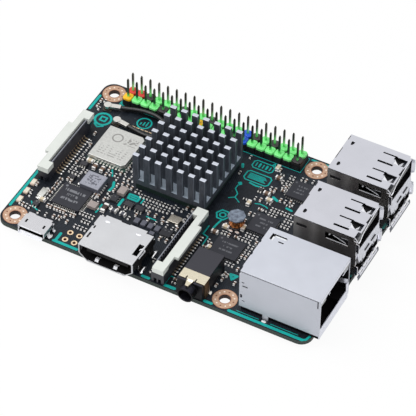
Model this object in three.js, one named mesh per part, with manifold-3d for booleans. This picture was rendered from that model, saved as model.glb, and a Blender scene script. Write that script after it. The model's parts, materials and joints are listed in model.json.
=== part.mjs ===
import * as THREE from 'three';
import { mergeVertices } from 'three/addons/utils/BufferGeometryUtils.js';
import Module from 'manifold-3d';

// A credit-card sized single board computer, in millimetres. X runs from the display connector's end to the
// USB and network end, Y from the power and video edge to the pin header's edge, and Z up from the board's
// top face. The finished group is moved so that its origin is the middle of the surface that it rests on.

// Board
const boardLength = 85;
const boardWidth = 56;
const boardThickness = 1.2;
const boardCorner = 3;
const mountHole = 2.75;
const mountInset = 3.5;
const mountPitchX = 58;
const testHole = 0.9;
const testHolePitch = 2.54;
const testHoleX = 18.4;
const testHoleY = 2.2;

// Sheet metal and fits
const sheet = 0.3;
const fit = 0.1;
const holeFit = 0.2;
const airGap = 0.3;

// Heatsink on the processor
const processorX = 34.25;
const processorFromMiddle = 7.45;
const processorSize = 19;
const processorHeight = 1.3;
const thermalPadSize = 18;
const thermalPadHeight = 0.6;
const heatsinkSize = 20.1;
const heatsinkBase = 1.6;
const heatsinkFinHeight = 8;
const heatsinkFinLength = 1.6;
const heatsinkFinWidth = 1.05;
const heatsinkFins = 7;

// Pin header, in line with the mounting holes
const pinPitch = 2.54;
const pinColumns = 20;
const pinWidth = 0.64;
const pinTaper = 0.5;
const pinTop = 8.45;
const headerBaseHeight = 1.4;
const headerCapHeight = 1.1;
const headerCapWidth = 2.3;
const headerCapChamfer = 0.6;

// Gaps before the first and after the last of the three sockets at the board's end, as shares of the width
// that the sockets leave free
const farGapShare = 0.2826;
const nearGapShare = 0.25;

// Dual USB sockets
const usbOverhang = 1.2;
const usbSpacing = 18;
const usbLength = 16.5;
const usbWidth = 13;
const usbFloor = 1.9;
const usbPortHeight = 5.6;
const usbDivider = 1.9;
const usbPlugDepth = 9.5;
const usbTongueWidth = 11.1;
const usbTongueThickness = 1.84;
const usbTongueDrop = 0.65;
const usbTongueSetback = 1.4;
const usbThroatInset = 1.3;
const usbLipLength = 0.8;
const usbLipFlare = 0.35;
const usbLipInset = 1.5;
const usbLegLength = 1.6;
const usbLegRear = 3;
const usbLegPitch = 8;
const usbSlot = 0.4;
const usbSpringSpacing = 6.1;
const usbSpringWidth = 3.1;
const usbSpringLength = 3.5;
const usbSpringWindow = 3;
const usbSpringWindowWidth = 2.4;
const usbEdgeStrip = 0.35;
const usbRearWindow = 0.8;
const usbRearWindowInset = 1.7;
const usbRearWindowSpacing = 8;
const usbSideSpringHeight = 2;

// Network socket
const networkOverhang = 1.8;
const networkLength = 21;
const networkWidth = 15.8;
const networkHeight = 13.5;
const networkSkirt = 1.3;
const networkPlugWidth = 11.8;
const networkPlugHeight = 6.8;
const networkPlugDepth = 14;
const networkPlugFloor = 3.3;
const networkClipWidth = 6.2;
const networkClipHeight = 1.6;
const networkLegLength = 1.5;
const networkLegRear = 7;
const networkWindowLength = 3.6;
const networkWindowWidth = 2;
const networkWindowRear = 1.8;
const networkWindowInset = 1.4;
const networkWindowBand = 0.65;
const lightPipeWidth = 2.8;
const lightPipeHeight = 2.2;
const lightPipeLength = 6;

// Video socket
const videoX = 32.1;
const videoOverhang = 2;
const videoDepth = 11.4;
const videoWidth = 14.8;
const videoTop = 5.7;
const videoBottom = 0.6;
const videoBottomWidth = 10.4;
const videoShoulder = 2.7;
const videoTongueWidth = 11.4;
const videoTongueThickness = 1.1;
const videoTongueHeight = 3.5;
const videoTongueSetback = 1;
const videoPlugDepth = 6.6;
const videoLegLength = 1.2;
const videoLegFront = 3.9;
const videoLegPitch = 5.8;
const videoWindowX = 6.3;
const videoWindowWidth = 1.3;
const videoWindowLength = 3.9;
const videoWindowFront = 4.9;
const videoSlotX = 6.6;
const videoSlotWidth = 0.5;
const videoSlotLength = 1.9;
const videoSlotFront = 3.8;

// Power socket
const powerX = 10.8;
const powerOverhang = 1;
const powerDepth = 5;
const powerWidth = 7.4;
const powerTop = 2.65;
const powerBottomWidth = 5.6;
const powerShoulder = 1.3;
const powerTongueWidth = 3.6;
const powerTongueThickness = 0.55;
const powerTongueSetback = 0.5;
const powerPlugDepth = 3.4;
const powerWindowSpacing = 4.9;
const powerWindowWidth = 0.5;
const powerWindowLength = 1.1;
const powerWindowFront = 2.1;

// Headphone socket, with its share of the spare room between the camera connector and the network socket
const audioShare = 0.2267;
const audioFrontY = 0.2;
const audioWidth = 6.8;
const audioDepth = 11.5;
const audioHeight = 5;
const audioBarrel = 4.2;
const audioBarrelLength = 2.3;
const audioBore = 3.4;
const audioBoreDepth = 11.5;
const audioPlateFront = 0.6;
const audioPlateDepth = 2.9;
const audioPlateMargin = 0.2;
const audioPlateLegMargin = 0.5;
const audioTongueLength = 2.1;
const audioTongueRoot = 2.2;
const audioTongueTip = 0.8;
const audioTongueSlot = 0.3;
const audioTongueSlotLength = 0.9;

// Ribbon cable connectors
const ribbonPins = 15;
const ribbonPitch = 1;
const ribbonMargin = 1.7;
const ribbonEndLength = 2.5;
const ribbonDepth = 3.05;
const ribbonFloor = 1.2;
const ribbonCombTop = 4.5;
const ribbonBackTop = 4.1;
const ribbonEndTop = 3.4;
const ribbonEndNotch = 3.3;
const ribbonWall = 0.65;
const ribbonSlot = 0.5;
const ribbonSlotDepth = 0.45;
const latchEarLength = 2.7;
const latchEarHeight = 1.6;
const latchHead = 0.95;
const latchBlade = 0.9;
const latchBulge = 1.05;
const latchBulgeLength = 11.6;
const cameraX = 43.65;
const cameraY = 11.55;
const cameraCombStart = -0.4;
const displayX = 5.25;
const displayY = 27.95;
const displayCombStart = 0.45;

// Wireless module
const wirelessX = 14.5;
const wirelessFromMiddle = 6.7;
const wirelessLength = 11;
const wirelessWidth = 12.2;
const wirelessBoardHeight = 0.5;
const wirelessCanMargin = 0.35;
const wirelessCanHeight = 1.3;
const wirelessCanCorner = 0.9;

// Aerial lead
const leadDiameter = 1.2;
const leadStep = 1.6;
const leadHeight = 0.95;
const coaxSocketSize = 2.4;
const coaxSocketHeight = 0.3;
const coaxPlugDiameter = 2;
const coaxPlugHeight = 0.9;
const crimpLength = 2.4;
const crimpWidth = 1.3;
const crimpHeight = 0.75;

// Wound inductor, a little before the USB chip
const drumShare = 0.4317;
const drumToChip = 0.5;
const drumY = 26.4;
const drumDiameter = 4.6;
const drumPost = 2.2;
const drumFlange = 0.5;
const drumHeight = 3.2;
const drumWire = 0.4;
const drumWirePitch = 0.85;

// Chips and other flat parts, each by the middle, length along X and width along Y. A share is the part of
// the spare room between its two neighbours that lies before the piece.
const chipHeight = 0.9;
const audioChipX = 12.95;
const audioChipY = 14.8;
const audioChipLength = 7.7;
const audioChipWidth = 7.4;
const networkChipShare = 0.2995;
const networkChipY = 17.8;
const networkChipLength = 7.2;
const networkChipWidth = 6.2;
const usbChipY = 28.9;
const usbChipLength = 6.4;
const usbChipWidth = 6.3;
const switchChipShare = 0.7222;
const switchChipY = 43.4;
const switchChipLength = 5.6;
const switchChipWidth = 5.8;
const smallChipHeight = 0.7;
const cardChipX = 22.3;
const cardChipY = 19.6;
const cardChipLength = 1.8;
const cardChipWidth = 2.1;
const regulatorX = 39.1;
const regulatorY = 15.4;
const regulatorLength = 2.9;
const regulatorWidth = 2.4;
const supplyInductorX = 15.3;
const supplyInductorY = 21.4;
const supplyInductorLength = 5.4;
const supplyInductorWidth = 5;
const supplyInductorHeight = 1.9;
const coreInductorHeight = 1.1;
const coreInductorNearX = 18.9;
const coreInductorNearY = 14.9;
const coreInductorNearLength = 2.4;
const coreInductorNearWidth = 2;
const coreInductorFarX = 22.9;
const coreInductorFarY = 22.6;
const coreInductorFarLength = 2;
const coreInductorFarWidth = 2.6;
const crystalHeight = 0.7;
const networkCrystalX = 38.8;
const networkCrystalY = 20.3;
const networkCrystalLength = 3;
const networkCrystalWidth = 2.4;
const audioCrystalX = 5.8;
const audioCrystalY = 12.9;
const audioCrystalLength = 1.6;
const audioCrystalWidth = 3.2;
const chokes = 4;
const chokeX = 30.9;
const chokeY = 15.5;
const chokePitch = 1.9;
const chokeLength = 1.3;
const chokeWidth = 1.7;
const chokeHeight = 0.8;
const endChokeX = 36.1;
const endChokeY = 13.5;
const endChokeWidth = 1;
const lights = 3;
const lightX = 1.9;
const lightY = 15;
const lightPitch = 3.3;
const lightLength = 1.1;
const lightWidth = 2;
const lightHeight = 0.6;

// Memory and card socket under the board
const memorySize = 11.5;
const memoryHeight = 0.9;
const memoryPitch = 14;
const cardSocketX = 1.2;
const cardSocketY = 28;
const cardSocketLength = 14.4;
const cardSocketWidth = 14;
const cardSlotWidth = 11.3;
const cardSlotHeight = 0.85;
const cardPlate = 0.4;
const cardStop = 1.4;
const cardSheet = 0.2;

// Sides of round things, and how far a cutting tool runs past what it cuts
const holeSides = 24;
const smallSides = 8;
const barrelSides = 20;
const cornerSteps = 6;
const past = 1;

const standZ = -boardThickness - cardPlate - cardSlotHeight - cardSheet;
const headerX = mountInset + mountPitchX / 2;
const headerY = boardWidth - mountInset;
const processorY = boardWidth / 2 + processorFromMiddle;
const wirelessY = boardWidth / 2 + wirelessFromMiddle;
const socketRoom = boardWidth - usbSpacing - usbWidth - networkWidth;
const usbFarY = boardWidth - usbWidth / 2 - farGapShare * socketRoom;
const networkY = networkWidth / 2 + nearGapShare * socketRoom;
const usbFrontX = boardLength + usbOverhang;
const usbRearX = usbFrontX - usbLength;
const networkFrontX = boardLength + networkOverhang;
const networkRearX = networkFrontX - networkLength;

// The middle of a piece in the room between two values, with a share of the spare room before it
const placeBetween = (from, to, length, share) => from + (to - from - length) * share + length / 2;
const heatsinkEndX = processorX + heatsinkSize / 2;
const latchEndX = cameraX + ribbonDepth + latchBulge;
const pairLength = drumDiameter + drumToChip + usbChipLength;
const pairX = placeBetween(heatsinkEndX, usbRearX, pairLength, drumShare);
const drumX = pairX - (pairLength - drumDiameter) / 2;
const usbChipX = pairX + (pairLength - usbChipLength) / 2;
const audioX = placeBetween(latchEndX, networkRearX, audioWidth, audioShare);
const networkChipX = placeBetween(latchEndX, networkRearX, networkChipLength, networkChipShare);
const switchChipX = placeBetween(heatsinkEndX, usbRearX, switchChipLength, switchChipShare);

const wasm = await Module();
wasm.setup();

// The solid of a closed geometry, with its corners shared
function solidOf(geometry) {
  const bare = geometry.index ? geometry.toNonIndexed() : geometry;
  bare.deleteAttribute('normal');
  bare.deleteAttribute('uv');
  const merged = mergeVertices(bare, 1e-4);
  return new wasm.Manifold(new wasm.Mesh({
    numProp: 3,
    vertProperties: merged.attributes.position.array,
    triVerts: new Uint32Array(merged.index.array),
  }));
}

function geometryOf(solid) {
  const mesh = solid.getMesh();
  const geometry = new THREE.BufferGeometry();
  geometry.setAttribute('position', new THREE.BufferAttribute(mesh.vertProperties, 3));
  geometry.setIndex(new THREE.BufferAttribute(mesh.triVerts, 1));
  geometry.computeVertexNormals();
  return geometry;
}

const join = (solids) => solids.reduce((whole, next) => whole.add(next));
const cut = (solid, tools) => tools.reduce((whole, next) => whole.subtract(next), solid);

// A block between two values on each axis
function block(x0, x1, y0, y1, z0, z1) {
  const geometry = new THREE.BoxGeometry(x1 - x0, y1 - y0, z1 - z0);
  return solidOf(geometry.translate((x0 + x1) / 2, (y0 + y1) / 2, (z0 + z1) / 2));
}

// A block round a point in plan, from z0 up to z1
function post(x, y, length, width, z0, z1) {
  return block(x - length / 2, x + length / 2, y - width / 2, y + width / 2, z0, z1);
}

const xAxis = new THREE.Vector3(1, 0, 0);
const yAxis = new THREE.Vector3(0, 1, 0);
const zAxis = new THREE.Vector3(0, 0, 1);

// An outline stretched along an axis: [y, z] points along X, [x, z] points along Y, [x, y] points along Z
function prism(axis, outline, from, to) {
  const shape = new THREE.Shape(outline.map(([a, b]) => new THREE.Vector2(a, b)));
  const geometry = new THREE.ExtrudeGeometry(shape, { depth: to - from, bevelEnabled: false });
  const turn = new THREE.Matrix4();
  if (axis === 'x') {
    geometry.translate(0, 0, from);
    turn.makeBasis(yAxis, zAxis, xAxis);
  } else if (axis === 'y') {
    geometry.translate(0, 0, -to);
    turn.makeBasis(xAxis, zAxis, yAxis.clone().negate());
  } else {
    geometry.translate(0, 0, from);
  }
  return solidOf(geometry.applyMatrix4(turn));
}

// Round bars along Z and along Y
function bar(x, y, diameter, z0, z1, sides) {
  const geometry = new THREE.CylinderGeometry(diameter / 2, diameter / 2, z1 - z0, sides);
  return solidOf(geometry.rotateX(Math.PI / 2).translate(x, y, (z0 + z1) / 2));
}

function barAlongY(x, z, diameter, y0, y1, sides) {
  const geometry = new THREE.CylinderGeometry(diameter / 2, diameter / 2, y1 - y0, sides);
  return solidOf(geometry.translate(x, (y0 + y1) / 2, z));
}

const rectangle = (x, y, length, width) => [
  [x - length / 2, y - width / 2],
  [x + length / 2, y - width / 2],
  [x + length / 2, y + width / 2],
  [x - length / 2, y + width / 2],
];

const polygon = (x, y, diameter, sides) => Array.from({ length: sides }, (_, i) => {
  const angle = (i + 0.5) * 2 * Math.PI / sides;
  return [x + diameter / 2 * Math.cos(angle), y + diameter / 2 * Math.sin(angle)];
});

// A square with its corners cut off
function chamferedSquare(x, y, size, chamfer) {
  const half = size / 2;
  const inner = half - chamfer;
  return [
    [x - inner, y - half], [x + inner, y - half], [x + half, y - inner], [x + half, y + inner],
    [x + inner, y + half], [x - inner, y + half], [x - half, y + inner], [x - half, y - inner],
  ];
}

// Finishes
const finish = (color, roughness, metalness) =>
  new THREE.MeshStandardMaterial({ color, roughness, metalness });
const boardInk = finish(0x1b1e24, 0.45, 0.1);
const blackAluminium = finish(0x2f343b, 0.4, 0.7);
const blackPlastic = finish(0x17171a, 0.5, 0);
const capGreen = finish(0x78f082, 0.5, 0);
const tinPlate = finish(0xcfcfd8, 0.3, 0.9);
const ivoryPlastic = finish(0xe8eee6, 0.5, 0);
const creamPlate = finish(0xe4d7be, 0.4, 0.4);
const chipResin = finish(0x34363f, 0.6, 0);
const silverCan = finish(0xd6d4cf, 0.4, 0.8);
const greenBoard = finish(0x12382f, 0.5, 0);
const blackJacket = finish(0x141416, 0.5, 0);
const paleCeramic = finish(0xcbb89a, 0.5, 0);
const slateFerrite = finish(0x6f7686, 0.6, 0.1);
const copperWire = finish(0xbe6e3c, 0.35, 0.8);
const padGrey = finish(0x9a9ea6, 0.9, 0);
const clearPlastic = finish(0xe9efe6, 0.2, 0);

const computer = new THREE.Group();

function part(name, solid, material, group = computer) {
  const mesh = new THREE.Mesh(geometryOf(solid), material);
  mesh.name = name;
  group.add(mesh);
}

function groupAt(x, y, turn = 0) {
  const group = new THREE.Group();
  group.position.set(x, y, 0);
  group.rotation.z = turn;
  computer.add(group);
  return group;
}

// Holes in the board, gathered from everything that stands in them
const boardHoles = [];

// A flat leg through the board, as deep as the card socket under it. A leg in a group gives the group's Y.
function leg(x, y, length, width, top, groupY = 0) {
  boardHoles.push(rectangle(x, y + groupY, length + 2 * holeFit, width + 2 * holeFit));
  return post(x, y, length, width, standZ, top);
}

// Processor, thermal pad and heatsink, one on another
function processorStack() {
  const padZ = processorHeight;
  const sinkZ = padZ + thermalPadHeight;
  const finZ = sinkZ + heatsinkBase;
  part('processor', post(processorX, processorY, processorSize, processorSize, 0, padZ), chipResin);
  part('thermal_pad', post(processorX, processorY, thermalPadSize, thermalPadSize, padZ, sinkZ), padGrey);
  const stepX = (heatsinkSize - heatsinkFinLength) / (heatsinkFins - 1);
  const stepY = (heatsinkSize - heatsinkFinWidth) / (heatsinkFins - 1);
  const firstX = processorX - (heatsinkSize - heatsinkFinLength) / 2;
  const firstY = processorY - (heatsinkSize - heatsinkFinWidth) / 2;
  const pieces = [post(processorX, processorY, heatsinkSize, heatsinkSize, sinkZ, finZ)];
  for (let column = 0; column < heatsinkFins; column += 1) {
    for (let row = 0; row < heatsinkFins; row += 1) {
      pieces.push(post(firstX + column * stepX, firstY + row * stepY, heatsinkFinLength, heatsinkFinWidth,
        sinkZ + heatsinkBase / 2, finZ + heatsinkFinHeight));
    }
  }
  part('heatsink', join(pieces), blackAluminium);
}
processorStack();

// Pin header: a black strip, a chamfered cap round each pin, and the pins with their tails through the board
function pinHeader() {
  const capTop = headerBaseHeight + headerCapHeight;
  const firstX = headerX - (pinColumns - 1) * pinPitch / 2;
  const pinRadius = pinWidth / Math.SQRT2;
  const pieces = [post(headerX, headerY, pinColumns * pinPitch, 2 * pinPitch, 0, headerBaseHeight)];
  for (let column = 0; column < pinColumns; column += 1) {
    for (const row of [-1, 1]) {
      const x = firstX + column * pinPitch;
      const y = headerY + row * pinPitch / 2;
      const cap = chamferedSquare(x, y, headerCapWidth, headerCapChamfer);
      const pin = new THREE.LatheGeometry([
        new THREE.Vector2(0, standZ),
        new THREE.Vector2(pinRadius, standZ),
        new THREE.Vector2(pinRadius, pinTop - pinTaper),
        new THREE.Vector2(pinRadius / 2, pinTop),
        new THREE.Vector2(0, pinTop),
      ], 4, Math.PI / 4);
      pieces.push(prism('z', cap, headerBaseHeight / 2, capTop));
      pieces.push(solidOf(pin.rotateX(Math.PI / 2).translate(x, y, 0)));
      boardHoles.push(polygon(x, y, 2 * (pinRadius + fit), smallSides));
    }
  }
  part('pin_header', join(pieces), capGreen);
}
pinHeader();

// The heights of a dual USB socket's ports, and the inner sizes of its shell
const usbLowerZ = usbFloor + sheet;
const usbDividerZ = usbLowerZ + usbPortHeight;
const usbUpperZ = usbDividerZ + usbDivider;
const usbTop = usbUpperZ + usbPortHeight + sheet;
const usbPlugEndX = usbFrontX - usbPlugDepth;
const usbSide = usbWidth / 2;
const usbInner = usbSide - sheet;
const usbThroat = usbInner - usbThroatInset;

// Flared lips below the lower port and beside both ports
function usbLips() {
  const rootX = usbFrontX - sheet;
  const tipX = usbFrontX + usbLipLength;
  const lipHalf = usbInner - usbLipInset;
  const lips = [prism('y', [
    [rootX, usbFloor],
    [tipX, usbFloor - usbLipFlare],
    [tipX, usbLowerZ - usbLipFlare],
    [rootX, usbLowerZ],
  ], -lipHalf, lipHalf)];
  for (const way of [-1, 1]) {
    for (const portZ of [usbLowerZ, usbUpperZ]) {
      lips.push(prism('z', [
        [rootX, way * usbInner],
        [rootX, way * usbSide],
        [tipX, way * (usbSide + usbLipFlare)],
        [tipX, way * (usbInner + usbLipFlare)],
      ], portZ + usbLipInset, portZ + usbPortHeight - usbLipInset));
    }
  }
  return lips;
}

// The slots and windows that free the springs in the top and sides, and two small windows at the rear
function usbWindows() {
  const low = usbTop - sheet - past;
  const high = usbTop + past;
  const windowX = usbFrontX - usbEdgeStrip - usbSpringWindow;
  const slotX = windowX - usbSpringLength;
  const windows = [];
  for (const way of [-1, 1]) {
    const springY = way * usbSpringSpacing / 2;
    const edge = springY + usbSpringWidth / 2;
    windows.push(
      block(slotX, windowX, edge - usbSlot / 2, edge + usbSlot / 2, low, high),
      block(slotX, windowX, edge - usbSpringWidth - usbSlot / 2, edge - usbSpringWidth + usbSlot / 2,
        low, high),
      block(windowX, windowX + usbSpringWindow, edge - usbSpringWindowWidth, edge, low, high),
      post(usbRearX + usbRearWindowInset, way * usbRearWindowSpacing / 2, usbRearWindow, usbRearWindow,
        low, high),
    );
    for (const portZ of [usbLowerZ, usbUpperZ]) {
      const middleZ = portZ + usbPortHeight / 2;
      windows.push(block(slotX, windowX, way * usbInner - past, way * usbInner + past,
        middleZ - usbSideSpringHeight / 2, middleZ + usbSideSpringHeight / 2));
    }
  }
  return windows;
}

// Dual USB socket: a sheet metal box with flared lips, round a black core with a tongue in each port
function usbSocket(name, y) {
  const group = groupAt(0, y);
  const legs = [];
  for (const x of [usbRearX + usbLegRear, usbRearX + usbLegRear + usbLegPitch]) {
    for (const way of [-1, 1]) {
      legs.push(leg(x, way * (usbSide - sheet / 2), usbLegLength, sheet, usbLowerZ + past, y));
    }
  }
  const box = block(usbRearX, usbFrontX, -usbSide, usbSide, usbFloor, usbTop);
  const hollow = block(usbRearX + sheet, usbFrontX + past, -usbInner, usbInner, usbLowerZ, usbTop - sheet);
  const dividerFace = block(usbFrontX - sheet, usbFrontX, -usbSide, usbSide, usbDividerZ, usbUpperZ);
  const throat = block(usbRearX + sheet + usbThroatInset, usbPlugEndX, -usbThroat, usbThroat,
    usbFloor - past, usbLowerZ + past);
  const shell = join([cut(box, [hollow]), dividerFace, ...usbLips(), ...legs]);
  part(`${name}_shell`, cut(shell, [throat, ...usbWindows()]), tinPlate, group);

  const core = usbInner - fit;
  const foot = usbThroat - fit;
  const footX = usbRearX + sheet + usbThroatInset + fit;
  const pieces = [
    block(usbRearX + sheet + fit, usbPlugEndX, -core, core, usbLowerZ, usbTop - sheet),
    block(usbPlugEndX - past, usbFrontX - sheet - fit, -core, core, usbDividerZ, usbUpperZ),
    block(footX, usbPlugEndX - fit, -foot, foot, 0, usbLowerZ + past),
    block(footX, boardLength - sheet, -foot, foot, 0, usbFloor),
  ];
  for (const portZ of [usbLowerZ, usbUpperZ]) {
    const tongueZ = portZ + usbPortHeight - usbTongueDrop;
    pieces.push(block(usbPlugEndX - past, usbFrontX - usbTongueSetback, -usbTongueWidth / 2,
      usbTongueWidth / 2, tongueZ - usbTongueThickness, tongueZ));
  }
  part(`${name}_core`, join(pieces), blackPlastic, group);
}
usbSocket('usb_far', usbFarY);
usbSocket('usb_middle', usbFarY - usbSpacing);

// Network socket: a metal box over a black moulding with the plug's cavity and a light pipe in each corner
function networkSocket() {
  const group = groupAt(0, networkY);
  const side = networkWidth / 2;
  const inner = side - sheet;
  const ceiling = networkHeight - sheet;
  const low = ceiling - past;
  const high = networkHeight + past;
  const legs = [-1, 1].map((way) => leg(networkRearX + networkLegRear, way * (side - sheet / 2),
    networkLegLength, sheet, networkSkirt + past, networkY));
  const box = block(networkRearX, networkFrontX, -side, side, networkSkirt, networkHeight);
  const hollow = block(networkRearX + sheet, networkFrontX + past, -inner, inner,
    networkSkirt - past, ceiling);
  const windowX = networkRearX + networkWindowRear;
  const windowY = inner - networkWindowInset;
  const window = cut(
    block(windowX, windowX + networkWindowLength, windowY - networkWindowWidth, windowY, low, high),
    [block(windowX + networkWindowBand, windowX + networkWindowLength + past,
      windowY - networkWindowWidth - past, windowY - networkWindowBand, low - past, high + past)],
  );
  part('network_shell', cut(join([cut(box, [hollow]), ...legs]), [window]), tinPlate, group);

  const plugX = networkFrontX - networkPlugDepth;
  const mouthX = networkFrontX + past;
  const pipeX = networkFrontX - fit - lightPipeLength;
  const pipeZ = ceiling - lightPipeHeight;
  const pipeY = inner - 2 * fit - lightPipeWidth / 2;
  const plug = block(plugX, mouthX, -networkPlugWidth / 2, networkPlugWidth / 2,
    networkPlugFloor, networkPlugFloor + networkPlugHeight);
  const clip = block(plugX, mouthX, -networkClipWidth / 2, networkClipWidth / 2,
    networkPlugFloor - networkClipHeight, networkPlugFloor + past);
  const pipeHoles = [-1, 1].map((way) => block(pipeX - fit, mouthX,
    way * pipeY - lightPipeWidth / 2 - fit, way * pipeY + lightPipeWidth / 2 + fit, pipeZ - fit, high));
  const body = block(networkRearX + sheet + fit, networkFrontX - fit, -inner + fit, inner - fit,
    0, ceiling);
  part('network_core', cut(body, [plug, clip, ...pipeHoles]), blackPlastic, group);
  for (const [name, way] of [['near', -1], ['far', 1]]) {
    const pipe = block(pipeX, networkFrontX - fit, way * pipeY - lightPipeWidth / 2,
      way * pipeY + lightPipeWidth / 2, pipeZ, ceiling);
    part(`network_light_pipe_${name}`, pipe, clearPlastic, group);
  }
}
networkSocket();

// A socket shell's section, wide at the top and tapered to its lower face, drawn in by a wall
function taperedSection(middle, width, bottomWidth, bottom, shoulder, top, wall) {
  const half = width / 2 - wall;
  const lower = bottomWidth / 2 - wall / 2;
  return [
    [middle - lower, bottom + wall], [middle + lower, bottom + wall], [middle + half, shoulder],
    [middle + half, top - wall], [middle - half, top - wall], [middle - half, shoulder],
  ];
}

// Video socket: a tapered metal shell round a black core with one wide tongue
function videoSocket() {
  const section = (wall) => taperedSection(videoX, videoWidth, videoBottomWidth, videoBottom,
    videoShoulder, videoTop, wall);
  const frontY = -videoOverhang;
  const rearY = frontY + videoDepth;
  const low = videoTop - sheet - past;
  const high = videoTop + past;
  const outer = prism('y', section(0), frontY, rearY);
  const hollow = prism('y', section(sheet), frontY - past, rearY - sheet);
  const legs = [];
  for (const y of [frontY + videoLegFront, frontY + videoLegFront + videoLegPitch]) {
    for (const way of [-1, 1]) {
      legs.push(leg(videoX + way * (videoWidth - sheet) / 2, y, sheet, videoLegLength,
        videoShoulder + past));
    }
  }
  const windows = [
    post(videoX + videoWindowX, frontY + videoWindowFront, videoWindowWidth, videoWindowLength, low, high),
    post(videoX - videoSlotX, frontY + videoSlotFront, videoSlotWidth, videoSlotLength, low, high),
  ];
  part('video_shell', cut(join([cut(outer, [hollow]), ...legs]), windows), tinPlate);

  const plugEndY = frontY + videoPlugDepth;
  const core = prism('y', section(sheet + fit), plugEndY, rearY - sheet - fit);
  const tongue = block(videoX - videoTongueWidth / 2, videoX + videoTongueWidth / 2,
    frontY + videoTongueSetback, plugEndY + past,
    videoTongueHeight - videoTongueThickness / 2, videoTongueHeight + videoTongueThickness / 2);
  part('video_core', join([core, tongue]), blackPlastic);
}
videoSocket();

// Power socket: the same build, small, with its shell flat on the board
function powerSocket() {
  const section = (wall) => taperedSection(powerX, powerWidth, powerBottomWidth, 0, powerShoulder,
    powerTop, wall);
  const frontY = -powerOverhang;
  const rearY = frontY + powerDepth;
  const outer = prism('y', section(0), frontY, rearY);
  const hollow = prism('y', section(sheet), frontY - past, rearY - sheet);
  const windows = [-1, 1].map((way) => post(powerX + way * powerWindowSpacing / 2,
    frontY + powerWindowFront, powerWindowWidth, powerWindowLength, powerShoulder, powerTop + past));
  part('power_shell', cut(outer, [hollow, ...windows]), tinPlate);

  const plugEndY = frontY + powerPlugDepth;
  const tongueZ = (powerTop + powerShoulder) / 2;
  const core = prism('y', section(sheet + fit), plugEndY, rearY - sheet - fit);
  const tongue = block(powerX - powerTongueWidth / 2, powerX + powerTongueWidth / 2,
    frontY + powerTongueSetback, plugEndY + powerTongueSetback,
    tongueZ - powerTongueThickness / 2, tongueZ + powerTongueThickness / 2);
  part('power_core', join([core, tongue]), blackPlastic);
}
powerSocket();

// Headphone socket: a black block with a round nose and bore, and a plate folded over its top and side
function audioSocket() {
  const half = audioWidth / 2;
  const noseY = audioFrontY - audioBarrelLength;
  const body = block(audioX - half, audioX + half, audioFrontY, audioFrontY + audioDepth, 0, audioHeight);
  const nose = barAlongY(audioX, audioHeight / 2, audioBarrel, noseY, audioFrontY + past, barrelSides);
  const bore = barAlongY(audioX, audioHeight / 2, audioBore, noseY - past, noseY + audioBoreDepth,
    barrelSides);
  part('audio_body', cut(join([body, nose]), [bore]), blackPlastic);

  const plateY = audioFrontY + audioPlateFront;
  const plateEndY = plateY + audioPlateDepth;
  const plateTop = audioHeight + sheet;
  const side = audioX + half;
  const plate = join([
    block(audioX - half + audioPlateMargin, side + sheet, plateY, plateEndY, audioHeight, plateTop),
    block(side, side + sheet, plateY + audioPlateLegMargin, plateEndY - audioPlateLegMargin, 0, plateTop),
    prism('z', [
      [audioX - audioTongueRoot / 2, plateY + audioTongueSlotLength],
      [audioX - audioTongueTip / 2, plateY - audioTongueLength],
      [audioX + audioTongueTip / 2, plateY - audioTongueLength],
      [audioX + audioTongueRoot / 2, plateY + audioTongueSlotLength],
    ], audioHeight, plateTop),
  ]);
  const slots = [-1, 1].map((way) => post(
    audioX + way * (audioTongueRoot + audioTongueSlot) / 2, plateY,
    audioTongueSlot, 2 * audioTongueSlotLength, audioHeight - past, plateTop + past,
  ));
  part('audio_plate', cut(plate, slots), creamPlate);
}
audioSocket();

// Ribbon cable connector: a black trough with a comb of contacts, and an ivory latch that lifts off its
// back wall. It is built along Y with the comb on the low side of X, and turned to face the other way.
function ribbonConnector(name, x, y, turn, combStart) {
  const group = groupAt(x, y, turn);
  const slotHalf = (ribbonPins - 1) * ribbonPitch / 2 + ribbonMargin;
  const half = slotHalf + ribbonEndLength;
  const backStart = ribbonDepth - ribbonWall;
  const combEnd = combStart + ribbonWall;
  const housing = [
    block(combStart, ribbonDepth, -half, half, 0, ribbonFloor),
    block(combStart, combEnd, -half, half, 0, ribbonEndNotch),
    block(combStart, combEnd, -slotHalf, slotHalf, 0, ribbonCombTop),
    block(backStart, ribbonDepth, -slotHalf, slotHalf, 0, ribbonBackTop),
    block(combStart, ribbonDepth, slotHalf, half, 0, ribbonEndTop),
    block(combStart, ribbonDepth, -half, -slotHalf, 0, ribbonEndTop),
  ];
  const slots = Array.from({ length: ribbonPins }, (_, pin) => {
    const slotY = (pin - (ribbonPins - 1) / 2) * ribbonPitch;
    return block(combEnd - ribbonSlotDepth, combEnd + past, slotY - ribbonSlot / 2, slotY + ribbonSlot / 2,
      ribbonFloor, ribbonCombTop + past);
  });
  part(`${name}_housing`, cut(join(housing), slots), blackPlastic, group);

  const bladeEnd = backStart - fit;
  const bladeStart = bladeEnd - latchBlade;
  const headTop = ribbonBackTop + latchHead;
  const earEnd = slotHalf + latchEarLength;
  const earZ = headTop - latchEarHeight;
  part(`${name}_latch`, join([
    block(bladeStart, bladeEnd, -slotHalf + fit, slotHalf - fit, ribbonFloor + airGap, headTop),
    block(bladeStart, ribbonDepth, -slotHalf, slotHalf, ribbonBackTop, headTop),
    block(bladeEnd, ribbonDepth + latchBulge, -latchBulgeLength / 2, latchBulgeLength / 2,
      ribbonBackTop, headTop),
    block(0, ribbonDepth, slotHalf, earEnd, earZ, headTop),
    block(0, ribbonDepth, -earEnd, -slotHalf, earZ, headTop),
  ]), ivoryPlastic, group);
}
ribbonConnector('camera_connector', cameraX, cameraY, 0, cameraCombStart);
ribbonConnector('display_connector', displayX, displayY, Math.PI, displayCombStart);

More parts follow.
